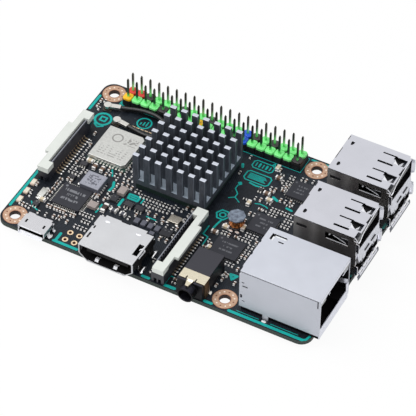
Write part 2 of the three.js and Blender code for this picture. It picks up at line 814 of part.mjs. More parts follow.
// Wireless module: a small green board under a metal can with two cut corners
function wirelessModule() {
  const canX = wirelessLength / 2 - wirelessCanMargin;
  const canY = wirelessWidth / 2 - wirelessCanMargin;
  part('wireless_board', post(wirelessX, wirelessY, wirelessLength, wirelessWidth, 0, wirelessBoardHeight),
    greenBoard);
  part('wireless_can', prism('z', [
    [wirelessX - canX, wirelessY - canY],
    [wirelessX + canX - wirelessCanCorner, wirelessY - canY],
    [wirelessX + canX, wirelessY - canY + wirelessCanCorner],
    [wirelessX + canX, wirelessY + canY - wirelessCanCorner],
    [wirelessX + canX - wirelessCanCorner, wirelessY + canY],
    [wirelessX - canX, wirelessY + canY],
  ], wirelessBoardHeight, wirelessBoardHeight + wirelessCanHeight), silverCan);
}
wirelessModule();

// The aerial lead's route, from one plug's crimp round a bend by the heatsink to the other's. The second
// value of each point is its place across the room between the wireless module and the pin header.
const leadNearY = wirelessY + (wirelessWidth + leadDiameter) / 2;
const leadFarY = headerY - pinPitch - leadDiameter / 2;
const leadRoute = [
  [8.3, 0.829, leadHeight], [9.7, 0.879, 1], [11.3, 0.93, 1.15], [13.5, 0.967, 1.4], [15.8, 0.97, 1.6],
  [18, 0.949, 1.6], [20, 0.867, 1.45], [21.7, 0.716, 1.25], [22.35, 0.515, 1.1], [22, 0.314, 1],
  [20.7, 0.17, leadHeight], [18.7, 0.101, leadHeight], [16.6, 0.113, leadHeight], [14.7, 0.157, leadHeight],
  [13.15, 0.186, leadHeight],
].map(([x, across, z]) => new THREE.Vector3(x, THREE.MathUtils.lerp(leadNearY, leadFarY, across), z));

function aerialLead() {
  const path = new THREE.CatmullRomCurve3(leadRoute, false, 'centripetal');
  const section = new THREE.Shape(polygon(0, 0, leadDiameter, smallSides)
    .map(([a, b]) => new THREE.Vector2(a, b)));
  const steps = Math.ceil(path.getLength() / leadStep);
  part('aerial_lead', solidOf(new THREE.ExtrudeGeometry(section,
    { steps, extrudePath: path, bevelEnabled: false })), blackJacket);
}
aerialLead();

// One end of the lead: a square socket on the board, a round plug pressed on it, and the plug's crimp, which
// points along the lead and stops a little short of it
function coaxEnd(name, end, inward) {
  const direction = new THREE.Vector3().subVectors(inward, end).setZ(0).normalize();
  const reach = coaxPlugDiameter / 2 + crimpLength;
  const back = reach + airGap;
  const turn = Math.atan2(direction.y, direction.x);
  const group = groupAt(end.x - direction.x * back, end.y - direction.y * back, turn);
  part(`aerial_socket_${name}`, post(0, 0, coaxSocketSize, coaxSocketSize, 0, coaxSocketHeight),
    creamPlate, group);
  const plugZ = coaxSocketHeight + airGap;
  part(`aerial_plug_${name}`, join([
    bar(0, 0, coaxPlugDiameter, plugZ, plugZ + coaxPlugHeight, barrelSides),
    block(0, reach, -crimpWidth / 2, crimpWidth / 2, plugZ, plugZ + crimpHeight),
  ]), tinPlate, group);
}
coaxEnd('header_end', leadRoute[0], leadRoute[1]);
coaxEnd('module_end', leadRoute.at(-1), leadRoute.at(-2));

// A tube of few sides along a list of points, with flat ends
function wireTube(path, diameter, sides) {
  const positions = [];
  const faces = [];
  const last = path.length - 1;
  path.forEach((point, i) => {
    const ahead = new THREE.Vector3().subVectors(path[Math.min(i + 1, last)], path[Math.max(i - 1, 0)]);
    ahead.normalize();
    const side = new THREE.Vector3().crossVectors(ahead, zAxis).normalize();
    const up = new THREE.Vector3().crossVectors(side, ahead);
    for (const [a, b] of polygon(0, 0, diameter, sides)) {
      positions.push(...point.clone().addScaledVector(side, a).addScaledVector(up, b).toArray());
    }
  });
  for (let i = 0; i < last; i += 1) {
    for (let k = 0; k < sides; k += 1) {
      const a = i * sides + k;
      const b = i * sides + (k + 1) % sides;
      faces.push(a, b + sides, b, a, a + sides, b + sides);
    }
  }
  for (let k = 1; k < sides - 1; k += 1) {
    faces.push(0, k, k + 1);
    faces.push(last * sides, last * sides + k + 1, last * sides + k);
  }
  const geometry = new THREE.BufferGeometry();
  geometry.setAttribute('position', new THREE.Float32BufferAttribute(positions, 3));
  geometry.setIndex(faces);
  return geometry;
}

// The least gap between stretches of a wound tube that lie half a loop or more apart
function leastGap(path, diameter, apart) {
  let least = Infinity;
  for (let i = 0; i < path.length; i += 1) {
    for (let j = i + apart; j < path.length; j += 1) {
      least = Math.min(least, path[i].distanceTo(path[j]) - diameter);
    }
  }
  return least;
}

// Wound inductor: an eight sided ferrite reel with its winding between the flanges
function drumInductor() {
  const reel = new THREE.LatheGeometry([
    new THREE.Vector2(0, 0),
    new THREE.Vector2(drumDiameter / 2, 0),
    new THREE.Vector2(drumDiameter / 2, drumFlange),
    new THREE.Vector2(drumPost / 2, drumFlange),
    new THREE.Vector2(drumPost / 2, drumHeight - drumFlange),
    new THREE.Vector2(drumDiameter / 2, drumHeight - drumFlange),
    new THREE.Vector2(drumDiameter / 2, drumHeight),
    new THREE.Vector2(0, drumHeight),
  ], smallSides, Math.PI / smallSides);
  part('drum_inductor_core', solidOf(reel.rotateX(Math.PI / 2).translate(drumX, drumY, 0)), slateFerrite);

  const loopSteps = 24;
  const wireSides = 6;
  const radius = drumPost / 2 + fit + drumWire / 2;
  const lowZ = drumFlange + fit + drumWire / 2;
  const loops = (drumHeight - 2 * lowZ) / drumWirePitch;
  const steps = Math.round(loops * loopSteps);
  const path = Array.from({ length: steps + 1 }, (_, i) => {
    const angle = i * 2 * Math.PI / loopSteps;
    return new THREE.Vector3(drumX + radius * Math.cos(angle), drumY + radius * Math.sin(angle),
      lowZ + i * drumWirePitch / loopSteps);
  });
  const runOut = (end, before) => new THREE.Vector3().subVectors(end, before).setZ(0)
    .setLength(drumWire).add(end);
  path.unshift(runOut(path[0], path[1]));
  path.push(runOut(path.at(-1), path.at(-2)));
  const gap = leastGap(path, drumWire, loopSteps / 2);
  console.log(`drum_inductor_winding: least gap to itself ${gap.toFixed(2)} mm`);
  part('drum_inductor_winding', solidOf(wireTube(path, drumWire, wireSides)), copperWire);
}
drumInductor();

// Chips, inductors, crystals, chokes and status lights on the board's top face
function flatPart(name, x, y, length, width, height, material) {
  part(name, post(x, y, length, width, 0, height), material);
}
flatPart('audio_chip', audioChipX, audioChipY, audioChipLength, audioChipWidth, chipHeight, chipResin);
flatPart('network_chip', networkChipX, networkChipY, networkChipLength, networkChipWidth, chipHeight,
  chipResin);
flatPart('usb_hub_chip', usbChipX, usbChipY, usbChipLength, usbChipWidth, chipHeight, chipResin);
flatPart('power_switch_chip', switchChipX, switchChipY, switchChipLength, switchChipWidth, chipHeight,
  chipResin);
flatPart('card_power_chip', cardChipX, cardChipY, cardChipLength, cardChipWidth, smallChipHeight, chipResin);
flatPart('regulator_chip', regulatorX, regulatorY, regulatorLength, regulatorWidth, smallChipHeight,
  chipResin);
flatPart('supply_inductor', supplyInductorX, supplyInductorY, supplyInductorLength, supplyInductorWidth,
  supplyInductorHeight, slateFerrite);
flatPart('core_inductor_near', coreInductorNearX, coreInductorNearY, coreInductorNearLength,
  coreInductorNearWidth, coreInductorHeight, paleCeramic);
flatPart('core_inductor_far', coreInductorFarX, coreInductorFarY, coreInductorFarLength,
  coreInductorFarWidth, coreInductorHeight, paleCeramic);
flatPart('network_crystal', networkCrystalX, networkCrystalY, networkCrystalLength, networkCrystalWidth,
  crystalHeight, silverCan);
flatPart('audio_crystal', audioCrystalX, audioCrystalY, audioCrystalLength, audioCrystalWidth,
  crystalHeight, silverCan);
for (let i = 0; i < chokes; i += 1) {
  flatPart(`video_choke_${i + 1}`, chokeX + i * chokePitch, chokeY, chokeLength, chokeWidth, chokeHeight,
    slateFerrite);
}
flatPart('video_choke_end', endChokeX, endChokeY, chokeLength, endChokeWidth, chokeHeight, slateFerrite);
for (let i = 0; i < lights; i += 1) {
  flatPart(`status_light_${i + 1}`, lightX, lightY - i * lightPitch, lightLength, lightWidth, lightHeight,
    paleCeramic);
}

// Memory under the board, one chip on each side of the processor's middle
for (const [name, way] of [['left', -1], ['right', 1]]) {
  part(`memory_chip_${name}`, post(processorX + way * memoryPitch / 2, processorY, memorySize, memorySize,
    -boardThickness - memoryHeight, -boardThickness), chipResin);
}

// Card socket under the board: a moulded plate with a stop, and a sheet metal cover with the slot between
function cardSocket() {
  const endX = cardSocketX + cardSocketLength;
  const half = cardSocketWidth / 2;
  const slotHalf = cardSlotWidth / 2;
  const plateZ = -boardThickness - cardPlate;
  const plate = block(cardSocketX, endX, cardSocketY - half, cardSocketY + half, plateZ, -boardThickness);
  const stop = block(endX - cardStop, endX, cardSocketY - slotHalf, cardSocketY + slotHalf,
    plateZ - cardSlotHeight + fit, plateZ);
  part('card_socket_plate', join([plate, stop]), blackPlastic);
  const cover = block(cardSocketX, endX, cardSocketY - half, cardSocketY + half, standZ, plateZ);
  const slot = block(cardSocketX - past, endX + past, cardSocketY - slotHalf - fit,
    cardSocketY + slotHalf + fit, standZ + cardSheet, plateZ + past);
  part('card_socket_cover', cut(cover, [slot]), tinPlate);
}
cardSocket();

// The board: rounded corners, four mounting holes, four bare plated holes, and the holes gathered above
function board() {
  const corners = [
    [boardLength - boardCorner, boardWidth - boardCorner], [boardCorner, boardWidth - boardCorner],
    [boardCorner, boardCorner], [boardLength - boardCorner, boardCorner],
  ];
  const outline = corners.flatMap(([x, y], quarter) => Array.from({ length: cornerSteps + 1 }, (_, i) => {
    const angle = (quarter + i / cornerSteps) * Math.PI / 2;
    return [x + boardCorner * Math.cos(angle), y + boardCorner * Math.sin(angle)];
  }));
  for (const x of [mountInset, mountInset + mountPitchX]) {
    for (const y of [mountInset, boardWidth - mountInset]) {
      boardHoles.push(polygon(x, y, mountHole, holeSides));
    }
  }
  for (const x of [testHoleX, testHoleX + testHolePitch]) {
    for (const y of [testHoleY, testHoleY + testHolePitch]) {
      boardHoles.push(polygon(x, y, testHole, smallSides));
    }
  }
  const drills = boardHoles.map((hole) => prism('z', hole, -boardThickness - past, past));
  part('board', cut(prism('z', outline, -boardThickness, 0), drills), boardInk);
}
board();

// The origin goes to the middle of the surface that the computer rests on.
const extent = new THREE.Box3().setFromObject(computer, true);
const middle = extent.getCenter(new THREE.Vector3());
computer.position.set(-middle.x, -middle.y, -extent.min.z);

export default computer;
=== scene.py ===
# %% [markdown]
# # A single board computer, dressed for the camera
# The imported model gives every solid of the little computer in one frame, in metres. This lesson loads it,
# sets a camera like the one that took the reference picture, and then works over the board piece by piece:
# first the finishes, then the metal sockets, the pin header, the small parts and the printing. Blender
# never changes the size of the object, so the first thing kept is the model's own box.

import json
import math
from functools import cached_property

import bmesh
import bpy
from mathutils import Matrix, Vector

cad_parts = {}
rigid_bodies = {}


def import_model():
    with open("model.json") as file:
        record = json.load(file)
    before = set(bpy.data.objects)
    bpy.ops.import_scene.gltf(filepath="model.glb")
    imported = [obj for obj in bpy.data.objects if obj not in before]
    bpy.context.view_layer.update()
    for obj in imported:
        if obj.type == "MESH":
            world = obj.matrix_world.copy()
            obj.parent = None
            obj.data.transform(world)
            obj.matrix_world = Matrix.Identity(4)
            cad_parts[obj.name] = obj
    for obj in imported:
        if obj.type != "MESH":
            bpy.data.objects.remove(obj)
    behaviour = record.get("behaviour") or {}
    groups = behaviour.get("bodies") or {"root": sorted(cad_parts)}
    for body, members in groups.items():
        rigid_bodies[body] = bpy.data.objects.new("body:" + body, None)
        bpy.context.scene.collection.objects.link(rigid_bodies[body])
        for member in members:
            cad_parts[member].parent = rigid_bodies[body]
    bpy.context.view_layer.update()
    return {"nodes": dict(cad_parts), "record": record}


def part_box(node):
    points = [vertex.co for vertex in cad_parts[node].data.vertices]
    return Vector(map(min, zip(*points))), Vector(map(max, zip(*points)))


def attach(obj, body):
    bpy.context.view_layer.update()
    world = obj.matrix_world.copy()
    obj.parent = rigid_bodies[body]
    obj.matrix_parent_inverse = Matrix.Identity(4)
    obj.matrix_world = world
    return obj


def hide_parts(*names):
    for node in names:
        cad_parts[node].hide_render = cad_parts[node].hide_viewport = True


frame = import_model()
slot_of = {part["node"]: part["material_slot"] for part in frame["record"]["subparts"]}

# %% [markdown]
# Drawings of circuit boards give places in millimetres from one corner of the board, with heights from its
# top face. All the pieces below are placed that way, so a small helper turns such a place into the frame's
# metres. The board's own box says where the corner and the top face are.

# %% Places on the board
MM = 0.001
board_low, board_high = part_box("board")


def spot(x, y, z=0.0):
    return Vector((board_low.x + x * MM, board_low.y + y * MM, board_high.z + z * MM))


def box_mm(node):
    """The corners of a node's box as board millimetres: x0, y0, z0, x1, y1, z1."""
    return [round(v / MM, 3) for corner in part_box(node) for v in corner - spot(0, 0)]


print("board reaches to", box_mm("board")[3:])

# %% [markdown]
# The picture was taken from above the near left corner with a long lens: lines that are parallel on the
# board stay almost parallel in the picture. The camera's angles, distance and lens were found by matching
# the four mounting holes and the sockets' corners, so the render can be laid over the picture.

# %% Camera
AZIMUTH = math.radians(27.757)
ELEVATION = math.radians(45.934)
ROLL = math.radians(0.559)
DISTANCE = 606.14 * MM
LENS_MM = 213.94
aim = spot(43.824, 28.035)
level = math.cos(ELEVATION)
back = Vector((math.sin(AZIMUTH) * level, -math.cos(AZIMUTH) * level, math.sin(ELEVATION)))
right = Vector((math.cos(AZIMUTH), math.sin(AZIMUTH), 0))
up = back.cross(right)
rolled_right = right * math.cos(ROLL) + up * math.sin(ROLL)
rolled_up = up * math.cos(ROLL) - right * math.sin(ROLL)
camera = bpy.data.objects.new("camera", bpy.data.cameras.new("camera"))
camera.data.lens = LENS_MM
camera.data.clip_start = 0.05
camera.data.clip_end = 20
facing = Matrix((rolled_right, rolled_up, back)).transposed().to_4x4()
camera.matrix_world = Matrix.Translation(aim + back * DISTANCE) @ facing
bpy.context.scene.collection.objects.link(camera)
bpy.context.scene.camera = camera
print("camera stands at", tuple(round(v, 4) for v in camera.location))

# %% [markdown]
# A material is a tree of nodes, and most of a tree is arithmetic. A small class wraps a socket so that the
# arithmetic can be written as ordinary sums: each sum adds the Math node that works it out. A second class
# holds a tree, and one method of it adds any other node. A third one is the tree of a material.

# %% Sums of sockets
# How a noise is drawn out: evenly, or in lines along x or along y.
EVEN = (1, 1, 1)
ALONG_X = (0.15, 2, 2)
ALONG_Y = (2, 0.15, 2)


class Wire:
    """An output socket of one tree, which can be used in sums."""

    def __init__(self, nodes, socket):
        self.nodes = nodes
        self.socket = socket

    def sum(self, operation, a, b=0.0):
        return self.nodes.node("Math", {"operation": operation}, {0: a, 1: b})

    def __add__(self, other):
        return self.sum("ADD", self, other)

    def __sub__(self, other):
        return self.sum("SUBTRACT", self, other)

    def __rsub__(self, other):
        return self.sum("SUBTRACT", other, self)

    def __mul__(self, other):
        return self.sum("MULTIPLY", self, other)

    def __truediv__(self, other):
        return self.sum("DIVIDE", self, other)

    def __rtruediv__(self, other):
        return self.sum("DIVIDE", other, self)

    def __pow__(self, other):
        return self.sum("POWER", self, other)

    def __mod__(self, other):
        return self.sum("FLOORED_MODULO", self, other)

    def __abs__(self):
        return self.sum("ABSOLUTE", self)

    def __lt__(self, other):
        return self.sum("LESS_THAN", self, other)

    def __gt__(self, other):
        return self.sum("GREATER_THAN", self, other)

    def __or__(self, other):
        return self.sum("MAXIMUM", self, other)

    __radd__ = __add__
    __rmul__ = __mul__


class Nodes:
    """A tree of nodes, and the ways to add to it."""

    def __init__(self, tree):
        self.tree = tree

    def node(self, kind, settings=None, sockets=None, output=0):
        made = self.tree.nodes.new("ShaderNode" + kind)
        for name, value in (settings or {}).items():
            setattr(made, name, value)
        for key, value in (sockets or {}).items():
            self.feed(made.inputs[key], value)
        return Wire(self, made.outputs[output])

    def feed(self, socket, value):
        if isinstance(value, Wire):
            self.tree.links.new(value.socket, socket)
        else:
            socket.default_value = value

    def seen_straight(self):
        """1 for a ray that comes from the camera, from a gloss or through something clear."""
        camera_ray, glossy_ray, clear_ray = [self.node("LightPath", output="Is %s Ray" % kind)
                                             for kind in ("Camera", "Glossy", "Transmission")]
        return camera_ray | glossy_ray | clear_ray


class Finish(Nodes):
    """The tree of one material."""

    def __init__(self, name, **constants):
        self.material = bpy.data.materials.new(name)
        self.material.use_nodes = True
        super().__init__(self.material.node_tree)
        self.shader = self.tree.nodes["Principled BSDF"]
        self.paint(**constants)

    def paint(self, **values):
        for words, value in values.items():
            self.feed(self.shader.inputs[words.replace("_", " ")], value)
        return self.material

    def grained(self, noise, low, high, depth, strength, **values):
        """Paints, with a roughness from low to high and bumps that follow one noise."""
        return self.paint(Roughness=self.spread(noise, low, high), Normal=self.bump(noise, depth, strength),
                          **values)

    @cached_property
    def place(self):
        """The point being shaded, in board millimetres."""
        corner = [-v / MM for v in spot(0, 0)]
        return self.node("VectorMath", {"operation": "MULTIPLY_ADD"},
                         {0: self.node("TexCoord", output="Object"), 1: (1 / MM,) * 3, 2: corner})

    def axes(self, vector=None):
        """The three numbers of a vector, or of the place where no vector is given."""
        return [self.node("SeparateXYZ", sockets={0: vector or self.place}, output=i) for i in range(3)]

    def facing(self):
        """The direction that the surface faces, as three numbers."""
        return self.axes(self.node("TexCoord", output="Normal"))

    def noise(self, scale, detail=2.0, stretch=EVEN):
        stretched = self.node("VectorMath", {"operation": "MULTIPLY"}, {0: self.place, 1: stretch})
        return self.node("TexNoise", None, {"Vector": stretched, "Scale": scale, "Detail": detail})

    def spread(self, wire, low, high):
        """A noise's middle range, spread over low to high."""
        return self.node("MapRange", None,
                         {"Value": wire, "From Min": 0.3, "From Max": 0.7, "To Min": low, "To Max": high})

    def mix(self, mask, under, over):
        return self.node("Mix", {"data_type": "RGBA"}, {0: mask, 6: under, 7: over}, 2)

    def cloud(self, noise, under, over, share=1.0):
        """A colour that a noise carries towards another, all the way or by a share."""
        return self.mix(self.spread(noise, 0, share), under, over)

    def bump(self, height, distance, strength):
        """Bumps whose height is given in millimetres."""
        return self.node("Bump", None, {"Height": height, "Distance": distance * MM, "Strength": strength})


def srgb(red, green, blue):
    """A colour as read from a picture, 0 to 255, in the linear values that a shader takes."""
    def linear(v):
        v /= 255
        return v / 12.92 if v <= 0.04045 else ((v + 0.055) / 1.055) ** 2.4
    return (linear(red), linear(green), linear(blue), 1.0)


def toned(colour, factor):
    return tuple(min(1.0, v * factor) for v in colour[:3]) + (1.0,)


print("charcoal in linear light:", [round(v, 4) for v in srgb(33, 34, 42)])

# %% [markdown]
# The reference stands on white, in soft light from all round with a little more from above. The floor is a
# pale sheet. What the camera, and anything glossy, sees of it is mostly its own white, and the rest is lit,
# so that the object's shadow stays on it. From below the sheet lets the camera look through.

# %% Floor, world and lamps
scene = bpy.context.scene
scene.view_settings.view_transform = "Standard"

AMBIENT = 0.6
OWN_WHITE = 0.94


def as_object(name, mesh):
    """Makes a finished bmesh an object of the scene."""
    data = bpy.data.meshes.new(name)
    mesh.to_mesh(data)
    mesh.free()
    made = bpy.data.objects.new(name, data)
    scene.collection.objects.link(made)
    return made


floor_finish = Finish("pale floor", Base_Color=(0.86, 0.86, 0.87, 1), Roughness=0.9)
white = floor_finish.node("Emission", None, {"Color": (1, 1, 1, 1), "Strength": 1.0})
lit = floor_finish.node("MixShader", None, {
    0: floor_finish.seen_straight() * OWN_WHITE,
    1: Wire(floor_finish, floor_finish.shader.outputs[0]), 2: white})
clear = floor_finish.node("BsdfTransparent")
from_below = floor_finish.node("NewGeometry", output="Backfacing")
sheet = floor_finish.node("MixShader", None, {0: from_below, 1: lit, 2: clear})
floor_finish.feed(floor_finish.tree.nodes["Material Output"].inputs["Surface"], sheet)
floor_mesh = bmesh.new()
bmesh.ops.create_grid(floor_mesh, x_segments=1, y_segments=1, size=3.0)
floor = as_object("floor", floor_mesh)
floor.data.materials.append(floor_finish.material)

scene.world = bpy.data.worlds.new("white studio")
scene.world.use_nodes = True
sky = Nodes(scene.world.node_tree)
background = sky.tree.nodes["Background"].inputs
sky.feed(background["Color"], (1, 1, 1, 1))
sky.feed(background["Strength"], sky.seen_straight() * (1 - AMBIENT) + AMBIENT)


def lamp(name, place, size, watts):
    data = bpy.data.lights.new(name, "AREA")
    data.size = size
    data.energy = watts
    made = bpy.data.objects.new(name, data)
    made.location = place
    made.rotation_mode = "QUATERNION"
    made.rotation_quaternion = (Vector(place) - aim).to_track_quat("Z", "Y")
    scene.collection.objects.link(made)


lamp("key", (-0.25, -0.1, 0.6), 0.5, 2.8)
lamp("fill", (0.5, -0.45, 0.35), 0.4, 1.2)

# %% [markdown]
# ## Finishes
# Tinned steel, the metal of the sockets, is bright and faintly uneven: rolled sheet has fine lines along it
# and broad, soft changes of tone. Both come from noise, one stretched along the sheet and one large.

# %% Sheet metal
def sheet_metal(name, colour, roughness=0.3, stretch=EVEN, lines=6.0):
    finish = Finish(name, Metallic=1.0)
    rolled = finish.noise(lines, 3.0, stretch)
    broad = finish.noise(0.25)
    tone = finish.spread(broad, 0.0, 0.6) + finish.spread(rolled, 0.0, 0.4)
    return finish.grained(
        rolled, roughness - 0.05, roughness + 0.07, 0.004, 0.4,
        Base_Color=finish.mix(tone, toned(colour, 0.95), toned(colour, 1.03)))


metals = {
    "usb": sheet_metal("socket steel", srgb(209, 209, 219), 0.28, ALONG_X),
    "plug": sheet_metal("plug steel", srgb(214, 212, 208)),
    "spring": sheet_metal("spring steel", srgb(232, 233, 238), 0.2),
    "crystal": sheet_metal("crystal can", srgb(214, 206, 192)),
}
print("metals:", sorted(metals))

# %% [markdown]
# Moulded plastic shows a very fine sparkle of texture from the mould, and its gloss isn't quite even. Glass
# filled black nylon, as in sockets, is rougher than the coloured header caps.

# %% Moulded plastic
def moulded(name, colour, roughness=0.5, grain=9.0, depth=0.006, sheen=0.12, specular=0.5, patchy=0.12):
    finish = Finish(name, Coat_Roughness=0.4, Specular_IOR_Level=specular)
    fine = finish.noise(grain, 3.0)
    broad = finish.noise(0.5)
    return finish.paint(
        Base_Color=finish.cloud(broad, toned(colour, 1 - patchy), toned(colour, 1 + patchy)),
        Roughness=finish.spread(fine, roughness - 0.06, roughness + 0.08),
        Coat_Weight=finish.spread(broad, sheen * 0.5, sheen),
        Normal=finish.bump(fine, depth, 0.5))


plastics = {
    "black": moulded("black socket plastic", srgb(24, 23, 26), 0.5),
    "ivory": moulded("ivory latch plastic", srgb(209, 213, 208), 0.42, 5.0, patchy=0.03),
    "light pipe": moulded("light pipe plastic", srgb(225, 230, 220), 0.2, 3.0, 0.002),
    "comb": moulded("connector plastic", srgb(34, 35, 44), 0.42),
}
print("plastics:", sorted(plastics))

# %% [markdown]
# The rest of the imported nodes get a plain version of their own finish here, so that the whole board is
# dressed from the start. The important ones are worked over later.

# %% First coat
def matt(name, colour, roughness=0.55, scale=4.0, metallic=0.0):
    finish = Finish(name, Metallic=metallic)
    grain = finish.noise(scale, 4.0)
    return finish.grained(
        grain, roughness - 0.05, roughness + 0.1, 0.008, 0.4,
        Base_Color=finish.cloud(grain, toned(colour, 0.85), toned(colour, 1.12)))


coats = {
    "board_laminate": matt("solder mask", srgb(33, 34, 42), 0.42),
    "black_aluminium": matt("black anodised aluminium", srgb(47, 50, 60), 0.4, metallic=0.5),
    "black_plastic": plastics["black"],
    "header_plastic": moulded("header plastic", srgb(20, 20, 22)),
    "plated_steel": metals["usb"],
    "ivory_plastic": plastics["ivory"],
    "cream_plate": sheet_metal("cream plated spring", srgb(228, 214, 188), 0.4),
    "chip_resin": matt("chip resin", srgb(58, 59, 68), 0.5, 7.0),
    "can_metal": sheet_metal("wireless can", srgb(215, 213, 208), 0.42, lines=3.0),
    "green_laminate": matt("green laminate", srgb(22, 60, 52), 0.45),
    "cable_jacket": moulded("cable jacket", srgb(26, 26, 30), 0.38),
    "gold_contact": sheet_metal("gold contact", srgb(206, 176, 120), stretch=ALONG_X),
    "ceramic": matt("tan ceramic", srgb(196, 178, 150), 0.45),
    "ferrite": matt("ferrite", srgb(112, 118, 134), 0.55),
    "copper_wire": sheet_metal("enamelled copper", srgb(204, 130, 76), 0.32),
    "thermal_pad": matt("thermal pad", srgb(150, 154, 160), 0.8),
    "light_pipe": plastics["light pipe"],
}


def coat(thing, material):
    thing.data.materials.clear()
    thing.data.materials.append(material)


for name, node in frame["nodes"].items():
    coat(node, coats[slot_of[name]])
print("coats:", len(coats))

# %% [markdown]
# ## Making pieces
# Every new piece starts as a bmesh, is shaped there with operators, and only then becomes an object, with
# its place in its mesh. The helper below finishes each one the same way: normals out, smooth where the
# surface turns gently and sharp where it turns hard, one material, and the body that it rides on.

# %% Pieces
def body_of(node):
    return frame["nodes"][node].parent.name.removeprefix("body:")


def piece(name, mesh, material, replaces=(), body="computer", turn=38, even=False):
    bmesh.ops.recalc_face_normals(mesh, faces=mesh.faces)
    made = as_object(name, mesh)
    made.data.materials.append(material)
    made.data.shade_smooth()
    made.data.set_sharp_from_angle(angle=math.radians(turn))
    if even:
        made.modifiers.new("even highlights", "WEIGHTED_NORMAL").keep_sharp = True
    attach(made, body)
    if replaces:
        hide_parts(*replaces)
    return made


def slab(mesh, low, high, cut=0.0, segments=1, which="all"):
    """A block between two corners in board millimetres, with its edges cut or rounded."""
    size = (Vector(high) - Vector(low)) * MM
    middle = spot(*((Vector(high) + Vector(low)) / 2))
    place = Matrix.Translation(middle) @ Matrix.Diagonal((*size, 1))
    corners = bmesh.ops.create_cube(mesh, size=1.0, matrix=place)["verts"]
    edges = {edge for corner in corners for edge in corner.link_edges}
    if which == "upright":
        edges = {e for e in edges if abs(e.verts[0].co.z - e.verts[1].co.z) > size.z / 2}
    if which == "top":
        edges = {e for e in edges if min(v.co.z for v in e.verts) > middle.z}
    if cut:
        made = bmesh.ops.bevel(mesh, geom=list(edges), offset=cut * MM, affect="EDGES",
                               segments=segments, profile=0.5, material=-1)
        corners = {v for face in made["faces"] for v in face.verts} | {v for v in corners if v.is_valid}
    return corners


print("bodies to ride on:", sorted({body_of(node) for node in slot_of}))

# %% [markdown]
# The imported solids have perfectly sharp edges, and no real part has. Folded sheet has a small radius at
# each fold and moulded plastic at each corner, and that thin line of highlight is what makes an edge look
# real. So each node is copied, its loose triangles are merged and joined to flat faces, and every edge that
# turns hard gets a small bevel. The copy stands for the node in the render, and the node stays in the
# model.

# %% Softened copies
def soften(node, width, material, turn=25, cutters=None):
    mesh = bmesh.new()
    mesh.from_mesh(frame["nodes"][node].data)
    bmesh.ops.remove_doubles(mesh, verts=mesh.verts, dist=0.001 * MM)
    if cutters:
        mesh = carved(mesh, cutters)
    bmesh.ops.dissolve_limit(mesh, angle_limit=math.radians(0.5), verts=mesh.verts, edges=mesh.edges)
    hard = [e for e in mesh.edges if e.calc_face_angle(0) > math.radians(turn)]
    bmesh.ops.bevel(mesh, geom=hard, offset=width * MM, affect="EDGES", segments=2,
                    profile=0.5, material=-1, clamp_overlap=True)
    made = piece(node + "_dressed", mesh, material, (node,), body_of(node), even=True)
    softened[node] = (len(hard), len(made.data.polygons))
    return made


softened = {}
for name in ("camera", "display"):
    soften(name + "_connector_latch", 0.12, plastics["ivory"])
soften("wireless_board", 0.03, coats["green_laminate"])
print("hard edges and faces:", softened)

# %% [markdown]
# ## The pin header
# Forty pins stand in a black strip, and each pin has a square cap of coloured plastic that says what the
# pin is for: yellow and red for power, black for ground, blue for the identity pins and green for the rest.
# All caps of one colour are one piece. A cap is a cube whose upright edges are cut at 45 degrees, so that
# from above it is an octagon, and whose top edges are eased.

# %% Caps by colour
HEADER_X = 8.37
PITCH = 2.54
HEADER_ROWS = (51.23, 53.77)
HEADER_PLACES = [(HEADER_X + PITCH * index, row) for row in HEADER_ROWS for index in range(20)]
CAP_BOTTOM = 1.85
CAP_TOP = 2.5
CAP_WIDTH = 2.36
CAP_CORNER = 0.42
CAP_EASE = 0.1
STRIP_TOP = 1.9
STRIP_MARGIN = 1.25
cap_colours = {
    "yellow": srgb(250, 188, 8), "red": srgb(212, 50, 40), "blue": srgb(4, 82, 212),
    "green": srgb(128, 242, 140), "black": srgb(34, 31, 32)}
front_row = ["yellow"] + ["green"] * 3 + ["black"] + ["green"] * 3 + ["yellow"] + ["green"] * 3
front_row += ["black", "blue"] + ["green"] * 5 + ["black"]
rear_row = ["red", "red", "black"] + ["green"] * 3 + ["black"] + ["green"] * 2 + ["black"]
rear_row += ["green"] * 3 + ["blue", "black", "green", "black"] + ["green"] * 3


def cap(mesh, x, y):
    half = CAP_WIDTH / 2
    corners = slab(mesh, (x - half, y - half, CAP_BOTTOM), (x + half, y + half, CAP_TOP),
                   CAP_CORNER, 1, "upright")
    under_top = spot(0, 0, CAP_TOP - 0.1).z
    rim = {e for v in corners for e in v.link_edges if min(w.co.z for w in e.verts) > under_top}
    bmesh.ops.bevel(mesh, geom=list(rim), offset=CAP_EASE * MM, affect="EDGES",
                    segments=2, profile=0.5, material=-1)


for colour, value in cap_colours.items():
    mesh = bmesh.new()
    for (x, y), name in zip(HEADER_PLACES, front_row + rear_row):
        if name == colour:
            cap(mesh, x, y)
    finish = moulded(colour + " cap plastic", value, 0.38, 6.0, 0.004, 0.2)
    piece("header_caps_" + colour, mesh, finish, ("pin_header",))
print("caps:", {c: (front_row + rear_row).count(c) for c in cap_colours})

# %% [markdown]
# The strip under the caps is one black moulding with a notch between each pair of pins. The pins are square
# wire with a pointed end, and their tails come through the board and end in a cone of solder.

# %% Strip and pins
PIN_LOW = -2.65
PIN_HIGH = 7.95
PIN_WIDTH = 0.47
PIN_POINT = 0.5
strip_mesh = bmesh.new()
for index in range(20):
    middle = HEADER_X + PITCH * index
    slab(strip_mesh, (middle - PITCH / 2, HEADER_ROWS[0] - STRIP_MARGIN, 0),
         (middle + PITCH / 2, HEADER_ROWS[1] + STRIP_MARGIN, STRIP_TOP), 0.35, 1, "upright")
piece("header_strip", strip_mesh, coats["header_plastic"], ("pin_header",))


